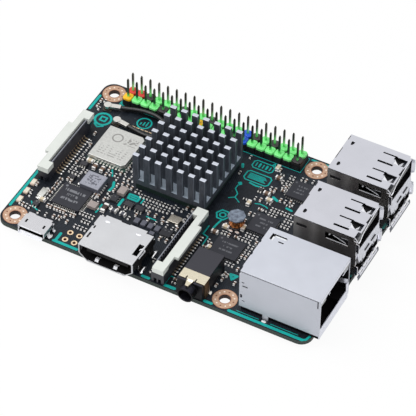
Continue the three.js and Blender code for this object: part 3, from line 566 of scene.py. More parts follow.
def pin(mesh, x, y):
    half = PIN_WIDTH / 2
    corners = slab(mesh, (x - half, y - half, PIN_LOW), (x + half, y + half, PIN_HIGH))
    faces = {face for corner in corners for face in corner.link_faces}
    top = max(faces, key=lambda face: face.calc_center_median().z)
    tip = bmesh.ops.extrude_discrete_faces(mesh, faces=[top])["faces"][0]
    bmesh.ops.scale(mesh, vec=(0.45, 0.45, 1), verts=tip.verts,
                    space=Matrix.Translation(-tip.calc_center_median()))
    bmesh.ops.translate(mesh, vec=(0, 0, PIN_POINT * MM), verts=tip.verts)


pins_mesh = bmesh.new()
for x, y in HEADER_PLACES:
    pin(pins_mesh, x, y)
pin_finish = Finish("dark tinned pin")
_, y, z = pin_finish.axes()
drawn = pin_finish.noise(6.0, 3.0, (2, 2, 0.15))
tin = pin_finish.cloud(drawn, srgb(86, 84, 76), srgb(96, 94, 86))
over_caps = z > CAP_BOTTOM
# Painted reflection of the caps: cap green just above the caps, and higher up pale green on the rear row and
# dark green on the front row.
foot = (1 - (z - 2.9) / 0.8 | 0) * over_caps
cap_reflection_share = (1 - (z - 3.9) / 2.2 | 0) * over_caps
painted_cap_reflection = pin_finish.mix(y > sum(HEADER_ROWS) / 2, srgb(22, 92, 60), srgb(160, 240, 160))
tin = pin_finish.mix(cap_reflection_share * 0.8, tin, painted_cap_reflection)
pin_finish.grained(
    drawn, 0.25, 0.37, 0.004, 0.4,
    Base_Color=pin_finish.mix(foot, tin, srgb(100, 226, 116)),
    Metallic=1 - (cap_reflection_share * 0.6 | foot * 0.85))
piece("header_pins", pins_mesh, pin_finish.material, ("pin_header",))
print("pins:", len(HEADER_PLACES))

# %% [markdown]
# ## The board
# A circuit board is glass cloth and resin with copper on it, under a coat of coloured solder mask. The mask
# here is nearly black. Where copper runs under it the surface stands a little higher and looks a little
# lighter, which gives the faint bundles of lines. Drawing each line would take thousands of strokes, so the
# material makes them: square cells pick a direction, and evenly spaced stripes run that way in some of
# them. The cut edge shows the laminate, and the walls of the four mounting holes are plated and brown.

# %% Solder mask
HOLES = [(x, y) for x in (3.5, 61.5) for y in (3.5, 52.5)]
HOLE_MIDDLE = (32.5, 28.0)
HOLE_REACH = (29.0, 24.5)


def from_hole(finish):
    """How far a place is from the nearest mounting hole, along x and along y."""
    x, y, _ = finish.axes()
    return abs(x - HOLE_MIDDLE[0]) - HOLE_REACH[0], abs(y - HOLE_MIDDLE[1]) - HOLE_REACH[1]


mask_finish = Finish("charcoal solder mask", Specular_IOR_Level=0.2)
x, y, z = mask_finish.axes()
cell = mask_finish.node("TexVoronoi", {"distance": "CHEBYCHEV"},
                        {"Vector": mask_finish.place, "Scale": 0.17}, "Color")
turned, wired, shade = mask_finish.axes(cell)
straight_run = turned > 0.6
run = y * straight_run + (x + y) * 0.7 * (1 - straight_run)
traces = (abs((run / 0.46) % 1.0 - 0.5) < 0.15) * (wired > 0.4)
dots = mask_finish.node("TexVoronoi", None, {"Vector": mask_finish.place, "Scale": 0.5}, "Distance")
vias = (dots < 0.12) * (dots > 0.05)
grain = mask_finish.noise(1.5, 4.0)
raised = traces * 0.6 + vias
top_colour = mask_finish.cloud(grain, srgb(17, 21, 27), srgb(28, 33, 41))
top_colour = mask_finish.mix(traces * 0.6, top_colour, srgb(44, 54, 65))
top_colour = mask_finish.mix(vias * 0.5, top_colour, srgb(62, 78, 84))
side = abs(mask_finish.facing()[2]) < 0.5
layers = abs((z / 0.42) % 1.0 - 0.5) < 0.12
edge_colour = mask_finish.mix(layers * 0.6, srgb(44, 52, 49), srgb(92, 104, 98))
from_x, from_y = from_hole(mask_finish)
in_hole = (from_x * from_x + from_y * from_y) < 2.6
edge_colour = mask_finish.mix(in_hole, edge_colour, srgb(66, 52, 48))
mask_finish.paint(
    Base_Color=mask_finish.mix(side, top_colour, edge_colour),
    Roughness=mask_finish.spread(grain, 0.32, 0.46) + side * 0.2,
    Normal=mask_finish.bump(raised + grain * 0.15, 0.02, 0.6))
coat(frame["nodes"]["board"], mask_finish.material)
print("mounting holes:", HOLES)

# %% [markdown]
# Round each mounting hole the mask is left off and a ring of copper shows, on both faces, with a circle of
# small plated holes that tie the two rings together. A ring is a thin rectangle spun round the hole's axis.
# The four holes sit evenly about the middle of the hole pattern, so the finish folds the board's
# coordinates about that middle and draws one circle of dots for all of them.

# %% Copper rings
def ring(mesh, x, y, inner, outer, low, high, steps=48):
    corners = [mesh.verts.new(spot(x + r, y, h)) for r, h in
               ((inner, low), (outer, low), (outer, high), (inner, high))]
    profile = [mesh.edges.new((corners[i], corners[(i + 1) % 4])) for i in range(4)]
    bmesh.ops.spin(mesh, geom=corners + profile, cent=spot(x, y), axis=(0, 0, 1), angle=math.tau,
                   steps=steps, use_merge=True)


BOARD_THICK = (board_high.z - board_low.z) / MM
FILM = 0.03
RING = (1.42, 3.08)
DOTS = 12
DOT_CIRCLE = 2.28
rings_mesh = bmesh.new()
for hole_x, hole_y in HOLES:
    for low in (0.0, -BOARD_THICK - FILM):
        ring(rings_mesh, hole_x, hole_y, *RING, low, low + FILM)

ring_finish = Finish("bare copper ring", Metallic=0.35, Specular_IOR_Level=0.4)
from_x, from_y = from_hole(ring_finish)
distance = (from_x * from_x + from_y * from_y) ** 0.5
angle = ring_finish.node("Math", {"operation": "ARCTAN2"}, {0: from_y, 1: from_x})
turn_part = angle / math.tau * DOTS + (DOTS + 0.5)
across = ((turn_part % 1.0) - 0.5) * (DOT_CIRCLE * math.tau / DOTS)
outwards = distance - DOT_CIRCLE
dot = (across * across + outwards * outwards) < 0.045
dark_dot = (turn_part / 3 % 1.0) < 0.34
cloud = ring_finish.noise(0.9, 3.0)
scratches = ring_finish.noise(3.0, 3.0, (1, 6, 1))
copper = ring_finish.cloud(cloud, srgb(168, 132, 106), srgb(194, 160, 136))
copper = ring_finish.cloud(scratches, copper, srgb(220, 192, 168), 0.25)
rim = (distance > 2.93) | (distance < 1.6)
copper = ring_finish.mix(rim * 0.6, copper, srgb(150, 84, 52))
dotted = ring_finish.mix(dark_dot, srgb(246, 230, 216), srgb(112, 56, 40))
ring_finish.paint(
    Base_Color=ring_finish.mix(dot * 0.85, copper, dotted),
    Roughness=ring_finish.spread(scratches, 0.35, 0.55),
    Normal=ring_finish.bump(dot * -1.0 + scratches * 0.2, 0.02, 0.6))
piece("copper_rings", rings_mesh, ring_finish.material)

PAD_HOLES = [(x, y) for x in (18.4, 20.94) for y in (2.2, 4.74)]
pads_mesh = bmesh.new()
for hole_x, hole_y in PAD_HOLES:
    ring(pads_mesh, hole_x, hole_y, 0.45, 0.78, 0.0, FILM, 24)
    ring(pads_mesh, hole_x, hole_y, 0.41, 0.46, -BOARD_THICK, FILM / 2, 24)
    ring(pads_mesh, hole_x, hole_y, 0.45, 0.78, -BOARD_THICK - FILM, -BOARD_THICK, 24)
for k in range(6):
    slab(pads_mesh, (12.15 + 1.2 * k, 44.2, 0.0), (13.05 + 1.2 * k, 44.46, FILM))
pad_finish = Finish("gilded pad", Metallic=0.6)
deep = pad_finish.axes()[2] < -0.02
grain = pad_finish.noise(2.0, 3.0)
gilt = pad_finish.cloud(grain, srgb(216, 186, 150), srgb(236, 214, 182))
pad_finish.paint(Base_Color=pad_finish.mix(deep, gilt, srgb(92, 34, 18)),
                 Roughness=pad_finish.spread(grain, 0.3, 0.5))
piece("plated_hole_pads", pads_mesh, pad_finish.material)
print("rings:", 2 * len(HOLES), "pads:", len(PAD_HOLES))

# %% [markdown]
# ## Printing
# The board's printing is a thick turquoise ink: strips along the edges, a fine outline round the header,
# and small signs beside the connectors. The signs here are plain ones: rings, bars, a zigzag and a few
# frames. Ink stands on the board as a film of a few hundredths of a millimetre, so each stroke is a thin
# slab, turned to its direction, with a round cap at each corner.

# %% Ink
ink_count = 0


def next_film():
    """How thick the next film is: neighbours differ a little, so that none lie in one plane."""
    global ink_count
    ink_count += 1
    return FILM * (0.7 + 0.02 * (ink_count % 10))


def stroke(mesh, points, width, closed=False):
    for (x0, y0), (x1, y1) in zip(points, points[1:] + points[:closed]):
        thick = next_film()
        turned = Matrix.Rotation(math.atan2(y1 - y0, x1 - x0), 4, "Z")
        size = (math.hypot(x1 - x0, y1 - y0) * MM, width * MM, thick * MM, 1)
        middle = spot((x0 + x1) / 2, (y0 + y1) / 2, thick / 2)
        bmesh.ops.create_cube(mesh, size=1.0,
                              matrix=Matrix.Translation(middle) @ turned @ Matrix.Diagonal(size))
    for x, y in points:
        disc(mesh, x, y, width / 2, 10)


def strokes(mesh, *rows):
    """Open strokes, each given as its width and its points."""
    for width, *points in rows:
        stroke(mesh, points, width)


def disc(mesh, x, y, radius, steps=20):
    thick = next_film() + 0.001
    bmesh.ops.create_cone(mesh, cap_ends=True, segments=steps, radius1=radius * MM, radius2=radius * MM,
                          depth=thick * MM, matrix=Matrix.Translation(spot(x, y, thick / 2)))


def circle(mesh, x, y, radius, width, start=0.0, end=360.0, steps=24):
    count = max(4, round(steps * (end - start) / 360))
    turns = [math.radians(start + (end - start) * i / count) for i in range(count + 1)]
    stroke(mesh, [(x + radius * math.cos(t), y + radius * math.sin(t)) for t in turns], width)


def frame_of(mesh, x0, y0, x1, y1, width, corner=0.6):
    corners = [(x0 + corner, y0), (x1 - corner, y0), (x1, y0 + corner), (x1, y1 - corner),
               (x1 - corner, y1), (x0 + corner, y1), (x0, y1 - corner), (x0, y0 + corner)]
    stroke(mesh, corners, width, closed=True)


ink = bmesh.new()
strokes(
    ink, (0.72, (0.62, 5.9), (0.62, 20.2)), (0.72, (0.62, 44.8), (0.62, 50.2)),
    (0.8, (16.1, 0.62), (22.6, 0.62)), (0.75, (16.5, 0.9), (16.5, 3.4)), (0.8, (40.7, 0.68), (42.4, 0.68)),
    (0.85, (46.8, 0.68), (49.4, 0.68)), (0.85, (57.6, 0.68), (59.3, 0.68)),
    (0.8, (64.0, 0.72), (83.3, 0.72)), (0.6, (83.3, 0.72), (84.1, 1.25), (84.4, 2.4), (84.4, 3.2)),
    (0.16, (65.6, 1.62), (71.4, 1.62)), (0.16, (74.6, 1.62), (81.8, 1.62)),
    (0.5, (84.5, 20.2), (84.5, 22.0)), (0.5, (84.5, 36.6), (84.5, 40.0)),
    (0.3, (46.6, 1.2), (46.6, 3.9), (47.6, 3.9)))
stroke(ink, [(6.5, 49.75), (58.2, 49.75), (58.2, 55.3), (6.5, 55.3)], 0.16, closed=True)
stroke(ink, [(6.7, 50.3), (6.7, 51.6)], 0.5)
disc(ink, 7.3, 50.35, 0.5)
stroke(ink, [(58.9, 55.2), (63.2, 55.2)], 0.6)
circle(ink, 15.6, 46.6, 1.85, 0.42)
for k in range(3):
    stroke(ink, [(14.8 + 0.8 * k, 45.9), (14.8 + 0.8 * k, 46.5 + 0.45 * k)], 0.36)
circle(ink, 5.6, 43.0, 2.1, 0.62)
stroke(ink, [(4.9, 42.4), (6.4, 42.4), (6.4, 43.8), (4.9, 43.8)], 0.5, closed=True)
stroke(ink, [(4.4, 40.7), (5.6, 39.9), (6.8, 40.7)], 0.5)
frame_of(ink, 46.4, 45.9, 52.0, 48.6, 0.3)
for k in range(5):
    stroke(ink, [(47.3 + 0.95 * k, 46.7), (47.3 + 0.95 * k, 47.8)], 0.5 if k % 2 else 0.3)
stroke(ink, [(51.0, 48.7), (51.4, 49.5), (51.8, 48.7)], 0.3)
frame_of(ink, 46.5, 41.3, 53.2, 44.6, 0.34)
for k in range(6):
    stroke(ink, [(47.4, 42.15 + 0.34 * k), (52.2 - 0.35 * (k % 3), 42.15 + 0.34 * k)], 0.22)
strokes(
    ink, (0.5, (48.8, 40.7), (50.4, 40.4), (52.0, 40.5)),
    (0.28, (46.3, 39.4), (47.3, 39.2), (46.6, 38.5), (46.6, 37.2), (47.9, 35.9), (47.9, 34.5)),
    (0.26, (47.9, 34.5), (46.6, 33.6)), (0.26, (47.9, 34.5), (49.6, 33.4)))
disc(ink, 46.8, 39.4, 0.5)
stroke(ink, [(44.3, 45.6), (44.7, 44.7)], 0.7)
circle(ink, 48.1, 27.7, 0.75, 0.4)
circle(ink, 48.1, 27.7, 1.7, 0.42, steps=6)
strokes(
    ink, (0.5, (48.6, 25.8), (48.3, 24.2), (48.1, 22.4)),
    (0.34, (46.9, 22.8), (46.9, 19.8), (48.4, 19.4), (48.5, 16.4)),
    (0.32, (53.3, 34.9), (54.4, 35.3), (55.9, 35.2), (56.7, 34.9)), (0.75, (56.3, 38.9), (57.6, 38.3)),
    (0.6, (60.8, 37.1), (62.3, 36.9)))
stroke(ink, [(59.0, 11.2), (60.7, 11.3), (60.0, 9.8)], 0.7, closed=True)
stroke(ink, [(24.7, 23.1), (27.5, 23.1), (27.5, 21.7), (24.9, 21.7)], 0.6, closed=True)
strokes(
    ink, (0.5, (25.4, 22.4), (26.9, 22.4)), (0.4, (28.6, 23.2), (28.6, 21.6)),
    (0.7, (24.1, 20.6), (24.1, 18.4)), (0.7, (19.2, 24.7), (19.8, 23.3), (19.6, 21.6)),
    (0.4, (16.6, 28.4), (17.8, 26.4)), (0.34, (4.6, 9.4), (5.9, 8.0), (7.4, 7.5)),
    (0.5, (20.4, 16.6), (20.4, 13.7)), (0.3, (32.0, 18.3), (34.6, 18.2)), (0.3, (2.0, 18.3), (2.5, 16.8)))
ink_finish = Finish("turquoise ink", Specular_IOR_Level=0.25)
speckle = ink_finish.noise(4.0, 3.0)
broad = ink_finish.noise(0.35)
inked = ink_finish.cloud(speckle, srgb(5, 150, 143), srgb(18, 184, 175))
ink_finish.grained(
    speckle, 0.42, 0.6, 0.01, 0.5,
    Base_Color=ink_finish.cloud(broad, inked, srgb(12, 140, 140), 0.35))
piece("turquoise_printing", ink, ink_finish.material)
print("strokes and caps of ink:", ink_count)

# %% [markdown]
# ## The heatsink
# The heatsink was cut from an anodised bar: the fins' flanks are dark blue-grey, but the saw that cut their
# tops came after the dye, so the tops are bare metal. The upright corners are painted paler, as a highlight,
# and so is the base between the fins along its front and right edges. The copy of the node has a bevel on
# each corner, so the finish can tell a top from a flank, and a corner from both, by the direction that the
# surface faces.

# %% Anodised fins
fins_finish = Finish("dark anodised fins", Specular_IOR_Level=0.4)
x, y, z = fins_finish.axes()
facing_x, facing_y, facing_up = fins_finish.facing()
grain = fins_finish.noise(2.5, 3.0, (1, 1, 0.2))
patches = fins_finish.noise(0.3)
bare = (facing_up > 0.5) * (z > 11.2)
# Painted highlights: the upright corners, and the base between the fins along the front and right edges, are
# made paler.
corner = (abs(facing_x) > 0.25) * (abs(facing_y) > 0.25) * (abs(facing_up) < 0.4)
painted_floor_highlight = (facing_up > 0.5) * (z < 4.0) * (z > 3.0) * ((x > 42.9) | (y < 28.8))
dye_and_highlights = fins_finish.cloud(grain, srgb(46, 50, 57), srgb(68, 73, 82))
dye_and_highlights = fins_finish.cloud(patches, dye_and_highlights, srgb(84, 90, 100), 0.3)
dye_and_highlights = fins_finish.mix(corner * 0.7, dye_and_highlights, srgb(128, 138, 150))
dye_and_highlights = fins_finish.mix(painted_floor_highlight * 0.75, dye_and_highlights, srgb(164, 178, 192))
fins_finish.grained(
    grain, 0.38, 0.52, 0.01, 0.4,
    Base_Color=fins_finish.mix(bare, dye_and_highlights, srgb(192, 197, 208)),
    Metallic=bare * 0.35)
heatsink = soften("heatsink", 0.09, fins_finish.material)
print("heatsink faces:", len(heatsink.data.polygons))

# %% [markdown]
# ## Chips
# A chip's body is filled epoxy, ground smooth and marked by laser. The marks are only a slightly lighter
# grey, and here they are plain bars of uneven length, with a small round dimple by the first lead. Each
# chip has its own finish, because the bars and the dimple are placed from the chip's own box.

# %% Chip finish
def chip_finish(node, colour=srgb(40, 41, 48), rows=3, tall=0.5, share=0.6, ink=0.3, way=1):
    x0, y0, z0, x1, y1, z1 = box_mm(node)
    width, depth = x1 - x0, y1 - y0
    finish = Finish(node + " resin", Specular_IOR_Level=0.28)
    x, y, z = finish.axes()
    grain = finish.noise(8.0, 3.0)
    broad = finish.noise(0.4)
    top = z > z1 - 0.02 if way > 0 else z < z0 + 0.02
    dot_x, dot_y = x0 + width * 0.13, y1 - depth * 0.13
    dimple = ((x - dot_x) * (x - dot_x) + (y - dot_y) * (y - dot_y)) < (min(width, depth) * 0.045) ** 2
    inked = dimple
    for row in range(rows):
        length = width * share * (1.0, 0.55, 0.8)[row % 3] / 2
        line = y0 + depth * (0.72 - 0.2 * row)
        cut_up = finish.noise(2.6, 0.0, (1, 0.2, 0)) > 0.45
        inked = (abs(x - (x0 + x1) / 2) < length) * (abs(y - line) < tall / 2) * cut_up | inked
    resin = finish.cloud(grain, toned(colour, 0.85), toned(colour, 1.15))
    resin = finish.cloud(broad, resin, toned(colour, 1.4), 0.3)
    finish.paint(Base_Color=finish.mix(inked * top * ink, resin, srgb(150, 152, 158)),
                 Roughness=finish.spread(grain, 0.42, 0.56),
                 Normal=finish.bump(grain * 0.3 - dimple, 0.02, 0.5))
    return finish.material


soften("audio_chip", 0.06, chip_finish("audio_chip", tall=0.8, share=0.75, ink=0.55))
for node in ("network_chip", "usb_hub_chip", "power_switch_chip"):
    soften(node, 0.06, chip_finish(node))
for node in ("card_power_chip", "regulator_chip"):
    soften(node, 0.05, chip_finish(node, srgb(40, 41, 46), 1, 0.3, 0.5))
for node in ("memory_chip_left", "memory_chip_right"):
    soften(node, 0.06, chip_finish(node, srgb(40, 41, 46), 3, 0.7, 0.7, 0.4, -1))
soften("processor", 0.05, chip_finish("processor", srgb(30, 46, 42), 0))
print("chips:", [n for n in slot_of if n.endswith("_chip")])

# %% [markdown]
# ## Bent strips
# Chip leads, ribbon contacts and socket springs are all the same thing: a narrow strip of sheet, bent in
# one plane. An edge is carried along a line of points, which leaves a ribbon behind it, and the ribbon is
# then given its thickness. The width can change from point to point.

# %% Strips
ACROSS_X = (1, 0, 0)
ACROSS_Y = (0, 1, 0)
ACROSS_Z = (0, 0, 1)


def strip(mesh, points, width, thick, across=ACROSS_X, widths=None):
    part = bmesh.new()
    side = Vector(across).normalized() * (width / 2 * MM)
    start = spot(*points[0])
    edge = part.edges.new((part.verts.new(start - side), part.verts.new(start + side)))
    for index, (before, after) in enumerate(zip(points, points[1:])):
        out = bmesh.ops.extrude_edge_only(part, edges=[edge])["geom"]
        fresh = [v for v in out if isinstance(v, bmesh.types.BMVert)]
        bmesh.ops.translate(part, vec=spot(*after) - spot(*before), verts=fresh)
        if widths:
            grown = widths[index + 1] / widths[index]
            centre = spot(*after)
            bmesh.ops.transform(part, verts=fresh, space=Matrix.Translation(-centre),
                                matrix=Matrix.Scale(grown, 4, Vector(across)))
        edge = part.edges.get(fresh)
    bmesh.ops.solidify(part, geom=part.faces[:], thickness=thick * MM)
    add_to(mesh, part)


def strips(mesh, across, *rows):
    """Strips bent in one plane, each given as its width, its thickness and its points."""
    for width, thick, *points in rows:
        strip(mesh, points, width, thick, across)


def add_to(mesh, part):
    """Joins one bmesh to another."""
    bmesh.ops.recalc_face_normals(part, faces=part.faces)
    carrier = bpy.data.meshes.new("carrier")
    part.to_mesh(carrier)
    part.free()
    mesh.from_mesh(carrier)
    bpy.data.meshes.remove(carrier)


def gull_wing(mesh, x, y, out_x, out_y, height=0.45, reach=0.75, width=0.22):
    """One chip lead that starts at a body's side and steps down to the board."""
    steps = ((0.0, height), (0.25, height), (0.4, 0.06), (reach, 0.05))
    points = [(x + out_x * r, y + out_y * r, h) for r, h in steps]
    strip(mesh, points, width, 0.06, across=(out_y, out_x, 0))


leads = bmesh.new()
solder = bmesh.new()
x0, y0, _, x1, y1, _ = box_mm("audio_chip")
for k in range(13):
    x, y = (x0 + x1) / 2 + 0.5 * (k - 6), (y0 + y1) / 2 + 0.5 * (k - 6)
    for way, end_x, end_y in ((-1, x0, y0), (1, x1, y1)):
        gull_wing(leads, x, end_y, 0, way)
        gull_wing(leads, end_x, y, way, 0)


def flat_leads(node, pitch, sides, width=0.24, reach=0.12, height=0.3):
    """Lead pads that show as small bright ends round a flat chip."""
    x0, y0, z0, x1, y1, z1 = box_mm(node)
    for side in sides:
        length = (y1 - y0) if side in "ew" else (x1 - x0)
        count = int((length - 0.8) / pitch)
        for k in range(count + 1):
            along = (k - count / 2) * pitch
            if side in "ew":
                x, y, wide, deep = x1 if side == "e" else x0, (y0 + y1) / 2 + along, reach, width / 2
            else:
                x, y, wide, deep = (x0 + x1) / 2 + along, y1 if side == "n" else y0, width / 2, reach
            slab(leads, (x - wide, y - deep, 0), (x + wide, y + deep, height))


flat_leads("network_chip", 0.5, "nesw")
flat_leads("usb_hub_chip", 0.5, "nesw")
flat_leads("power_switch_chip", 0.6, "nesw", 0.3, 0.35, 0.2)
flat_leads("regulator_chip", 0.65, "ns", 0.3, 0.3, 0.25)
flat_leads("card_power_chip", 0.6, "ew", 0.25, 0.25, 0.25)
tinned = sheet_metal("tinned lead", srgb(222, 220, 214), 0.32)
piece("chip_leads", leads, tinned)
print("tinned leads made")

# %% [markdown]
# ## Small parts
# Hundreds of resistors and capacitors cover a board like this. Each is a tiny block of ceramic with a
# tinned cap at each end, on two solder pads, and from a distance the bright ends are what shows. Every kind
# has its own length, width and height. The bodies of one colour are one piece, and all ends are another, so
# each part costs a few dozen faces at most. The places were read off the reference, row by row.

# %% Kinds of small parts
KINDS = {
    "resistor": (0.98, 0.46, 0.36, "dark"),
    "capacitor": (1.0, 0.5, 0.5, "tan"),
    "wide_capacitor": (1.7, 0.92, 0.8, "tan"),
    "pale_capacitor": (1.7, 0.92, 0.8, "cream"),
    "diode": (2.7, 1.15, 0.75, "brown"),
    "small_coil": (1.5, 1.0, 0.8, "grey"),
}
bodies = {colour: bmesh.new() for colour in ("dark", "tan", "cream", "brown", "grey")}
ends = bmesh.new()
part_count = 0


def small_part(kind, x, y, upright=True, under=False):
    global part_count
    part_count += 1
    length, width, height, colour = KINDS[kind]
    end = length * 0.22

    def box(mesh, low, high, z0, z1, grow=0.0):
        near, far = (x - width / 2 - grow, y + low), (x + width / 2 + grow, y + high)
        if not upright:
            near, far = (x + low, y - width / 2 - grow), (x + high, y + width / 2 + grow)
        if under:
            z0, z1 = -BOARD_THICK - z1, -BOARD_THICK - z0
        slab(mesh, (*near, z0), (*far, z1))

    box(bodies[colour], end - length / 2, length / 2 - end, 0.03, height - 0.02)
    box(ends, -length / 2, end - length / 2, 0.02, height, 0.01)
    box(ends, length / 2 - end, length / 2, 0.02, height, 0.01)
    box(solder, -length / 2 - 0.08, end - length / 2, 0.0, 0.05, 0.01)
    box(solder, length / 2 - end, length / 2 + 0.08, 0.0, 0.05, 0.01)


def parts(kind, places, upright=True, under=False):
    for x, y in places:
        small_part(kind, x, y, upright, under)


def grid(kinds, x, y, step_x, step_y, columns, rows, gaps=(), under=False):
    for row in range(rows):
        for column in range(columns):
            if (column, row) not in gaps:
                kind = kinds[(column * 3 + row * 2) % len(kinds)]
                small_part(kind, x + step_x * column, y + step_y * row, under=under)


MIXED = ("resistor", "capacitor", "resistor")
print("kinds:", sorted(KINDS))

# %% [markdown]
# The rows below go over the board from the left edge to the right, as a person would read it.

# %% Rows at the left edge and round the audio chip
parts("resistor", [(2.9, 12.1), (3.3, 10.9), (2.5, 7.6), (4.3, 7.5), (5.3, 7.3), (10.1, 7.1), (8.1, 6.9)])
parts("capacitor", [(2.9, 15.0), (3.4, 7.4), (15.9, 7.3), (12.1, 7.4), (6.6, 14.1), (14.6, 8.8)])
parts("capacitor", [(x, 9.9) for x in (9.0, 9.9, 11.0, 11.8, 12.7, 13.6, 15.6, 16.5)])
parts("capacitor", [(7.2, 19.3), (7.2, 17.4), (7.3, 15.5), (7.3, 14.2), (13.6, 7.9), (17.5, 18.7)], False)
parts("resistor", [(7.2, 18.3), (7.3, 16.5), (7.3, 13.0), (7.3, 12.0), (13.5, 7.0)], False)
parts("resistor", [(17.5, 18.1), (17.5, 17.5)], False)
parts("pale_capacitor", [(6.8, 10.9)], False)
grid(MIXED, 17.3, 11.6, 0.88, -2.1, 5, 2, gaps=((0, 1), (1, 1)))
grid(MIXED, 18.3, 7.1, 0.98, 1.0, 4, 1)
parts("diode", [(21.7, 15.7)])
parts("resistor", [(18.2, 22.1), (18.3, 20.4), (19.9, 20.8), (20.7, 19.4), (19.2, 16.4), (22.9, 16.6)])
parts("capacitor", [(18.3, 18.6), (20.1, 18.4), (8.7, 20.2), (9.8, 19.7), (20.7, 22.1), (20.6, 24.0)])
parts("resistor", [(23.8, 12.6), (22.6, 12.9), (22.7, 10.7)])
print("small parts so far:", part_count)

# %% Rows at the left side
grid(MIXED, 7.6, 22.9, 0.95, 1.72, 3, 4, gaps=((2, 3), (2, 1), (2, 2), (1, 2)))
grid(MIXED, 7.6, 29.8, 1.0, 1.72, 1, 3)
parts("resistor", [(10.5, 24.2), (11.4, 24.6), (10.5, 22.7)])
parts("pale_capacitor", [(10.4, 28.2)], False)
parts("wide_capacitor", [(12.5, 26.9), (14.6, 26.9)])
parts("capacitor", [(16.1, 27.9), (16.2, 26.0), (6.5, 37.35), (1.9, 48.6), (2.0, 46.6)])
parts("resistor", [(2.8, 45.8), (2.8, 48.9), (6.9, 34.1), (17.1, 26.6), (18.4, 26.9), (18.6, 29.0)])
parts("resistor", [(20.3, 28.7), (20.9, 27.2), (21.3, 30.3), (22.2, 28.7), (23.2, 27.3), (19.4, 25.9)])
parts("capacitor", [(19.3, 28.1), (22.1, 26.9), (20.2, 30.6), (21.5, 25.2), (24.2, 24.9), (22.9, 25.1)])
print("small parts so far:", part_count)

# %% Rows in the middle
grid(MIXED, 27.5, 23.7, 0.92, -1.9, 10, 2, gaps=((0, 1), (1, 1), (9, 1)))
parts("capacitor", [(32.0, 19.5), (33.9, 19.5), (24.8, 17.2), (29.6, 17.4), (33.0, 17.2), (35.9, 19.4)])
parts("resistor", [(26.4, 17.3), (31.1, 20.3), (35.1, 17.2), (36.0, 21.9), (28.5, 15.6), (25.6, 24.6)])
parts("resistor", [(26.6, 24.6), (36.6, 24.4), (37.6, 24.0), (38.8, 24.1), (40.9, 23.4), (40.9, 21.4)])
parts("capacitor", [(38.5, 13.2), (40.3, 13.2), (40.6, 18.0), (36.5, 18.3), (41.0, 25.4), (39.5, 25.4)])
parts("resistor", [(38.0, 17.6), (39.6, 17.5), (40.9, 15.4), (41.6, 5.0), (40.8, 6.3), (41.9, 2.9)])
parts("small_coil", [(24.1, 15.9), (26.7, 15.9)], False)
print("small parts so far:", part_count)

# %% Rows at the right
parts("resistor", [(49.3, 18.3), (50.9, 22.3), (51.7, 22.4), (54.9, 31.2), (56.0, 44.6), (59.8, 47.7)])
parts("capacitor", [(50.2, 17.4), (52.7, 22.2), (53.8, 31.1), (53.9, 28.3), (60.9, 47.7), (58.4, 38.7)])
parts("wide_capacitor", [(49.2, 21.5), (54.6, 45.2), (54.4, 39.0)], False)
parts("pale_capacitor", [(55.9, 37.3), (50.8, 24.2), (50.7, 16.3)], False)
parts("pale_capacitor", [(52.8, 48.3), (54.8, 25.9), (52.0, 34.0)])
parts("capacitor", [(49.3, 16.0), (54.6, 22.4), (55.2, 40.3), (57.4, 41.9), (55.4, 33.5), (48.3, 3.3)],
      False)
parts("resistor", [(54.8, 46.7), (56.6, 33.5), (50.5, 34.9), (48.4, 2.1), (56.3, 36.2), (60.9, 37.8)], False)
grid(MIXED, 55.4, 24.5, 0.92, -1.85, 5, 2, gaps=((0, 0), (4, 1)))
grid(MIXED, 58.75, 21.2, 0.95, -1.85, 2, 4, gaps=((1, 3),))
grid(MIXED, 56.4, 13.7, 0.92, 1.0, 3, 1)
grid(MIXED, 57.0, 47.0, 0.9, -2.05, 2, 2)
parts("resistor", [(56.8, 43.1), (58.3, 43.0), (54.4, 41.3), (59.6, 38.8), (61.7, 38.8), (52.6, 36.4)])
parts("capacitor", [(57.6, 43.3), (55.6, 41.3), (60.8, 39.3), (54.0, 36.5), (59.8, 13.2), (61.3, 8.8)])
parts("capacitor", [(57.8, 10.5), (58.6, 10.2), (58.1, 8.6), (57.7, 6.3), (59.8, 23.0), (53.6, 48.0)])
grid(MIXED, 57.9, 35.0, 0.9, -1.9, 7, 1)
grid(MIXED, 58.0, 33.2, 0.9, -1.9, 3, 1)
grid(MIXED, 62.5, 33.1, 0.9, -1.9, 3, 2)
parts("resistor", [(44.9, 48.6), (62.6, 48.2), (45.1, 42.5)])
print("small parts so far:", part_count)

# %% [markdown]
# The underside isn't in the reference. Boards of this kind have rows of capacitors under the processor,
# between and around the memory chips, and a few parts near the sockets, so it gets those.

# %% Rows on the underside
grid(MIXED, 22.5, 43.2, 1.15, 1.9, 22, 2, gaps=((4, 0), (5, 0), (13, 1), (14, 1), (18, 0)), under=True)
grid(MIXED, 22.5, 27.9, 1.15, -1.9, 22, 2, gaps=((2, 1), (3, 1), (9, 0), (16, 1), (17, 1)), under=True)
grid(("capacitor", "resistor"), 34.25, 31.0, 1.0, 1.5, 1, 7, under=True)
parts("wide_capacitor", [(24.0, 20.0), (26.4, 20.0), (44.0, 20.5), (50.5, 30.0), (50.5, 36.0)], under=True)
parts("pale_capacitor", [(29.5, 20.2), (31.8, 20.2), (52.8, 33.0)], under=True)
grid(MIXED, 52.0, 20.0, 1.1, 1.8, 6, 3, gaps=((1, 1), (4, 2)), under=True)
grid(MIXED, 56.0, 38.0, 1.1, 1.8, 5, 2, under=True)
grid(MIXED, 10.0, 12.0, 1.1, 1.8, 5, 2, gaps=((3, 0),), under=True)
grid(MIXED, 33.5, 13.0, 1.1, -1.8, 5, 2, under=True)
print("small parts with the underside:", part_count)

# %% [markdown]
# Some small chips sit among the rows: three-legged ones that switch power, with legs on two sides. They are
# a body with cut edges and short bent legs.

# %% Three-legged parts
small_bodies = bmesh.new()
small_legs = bmesh.new()


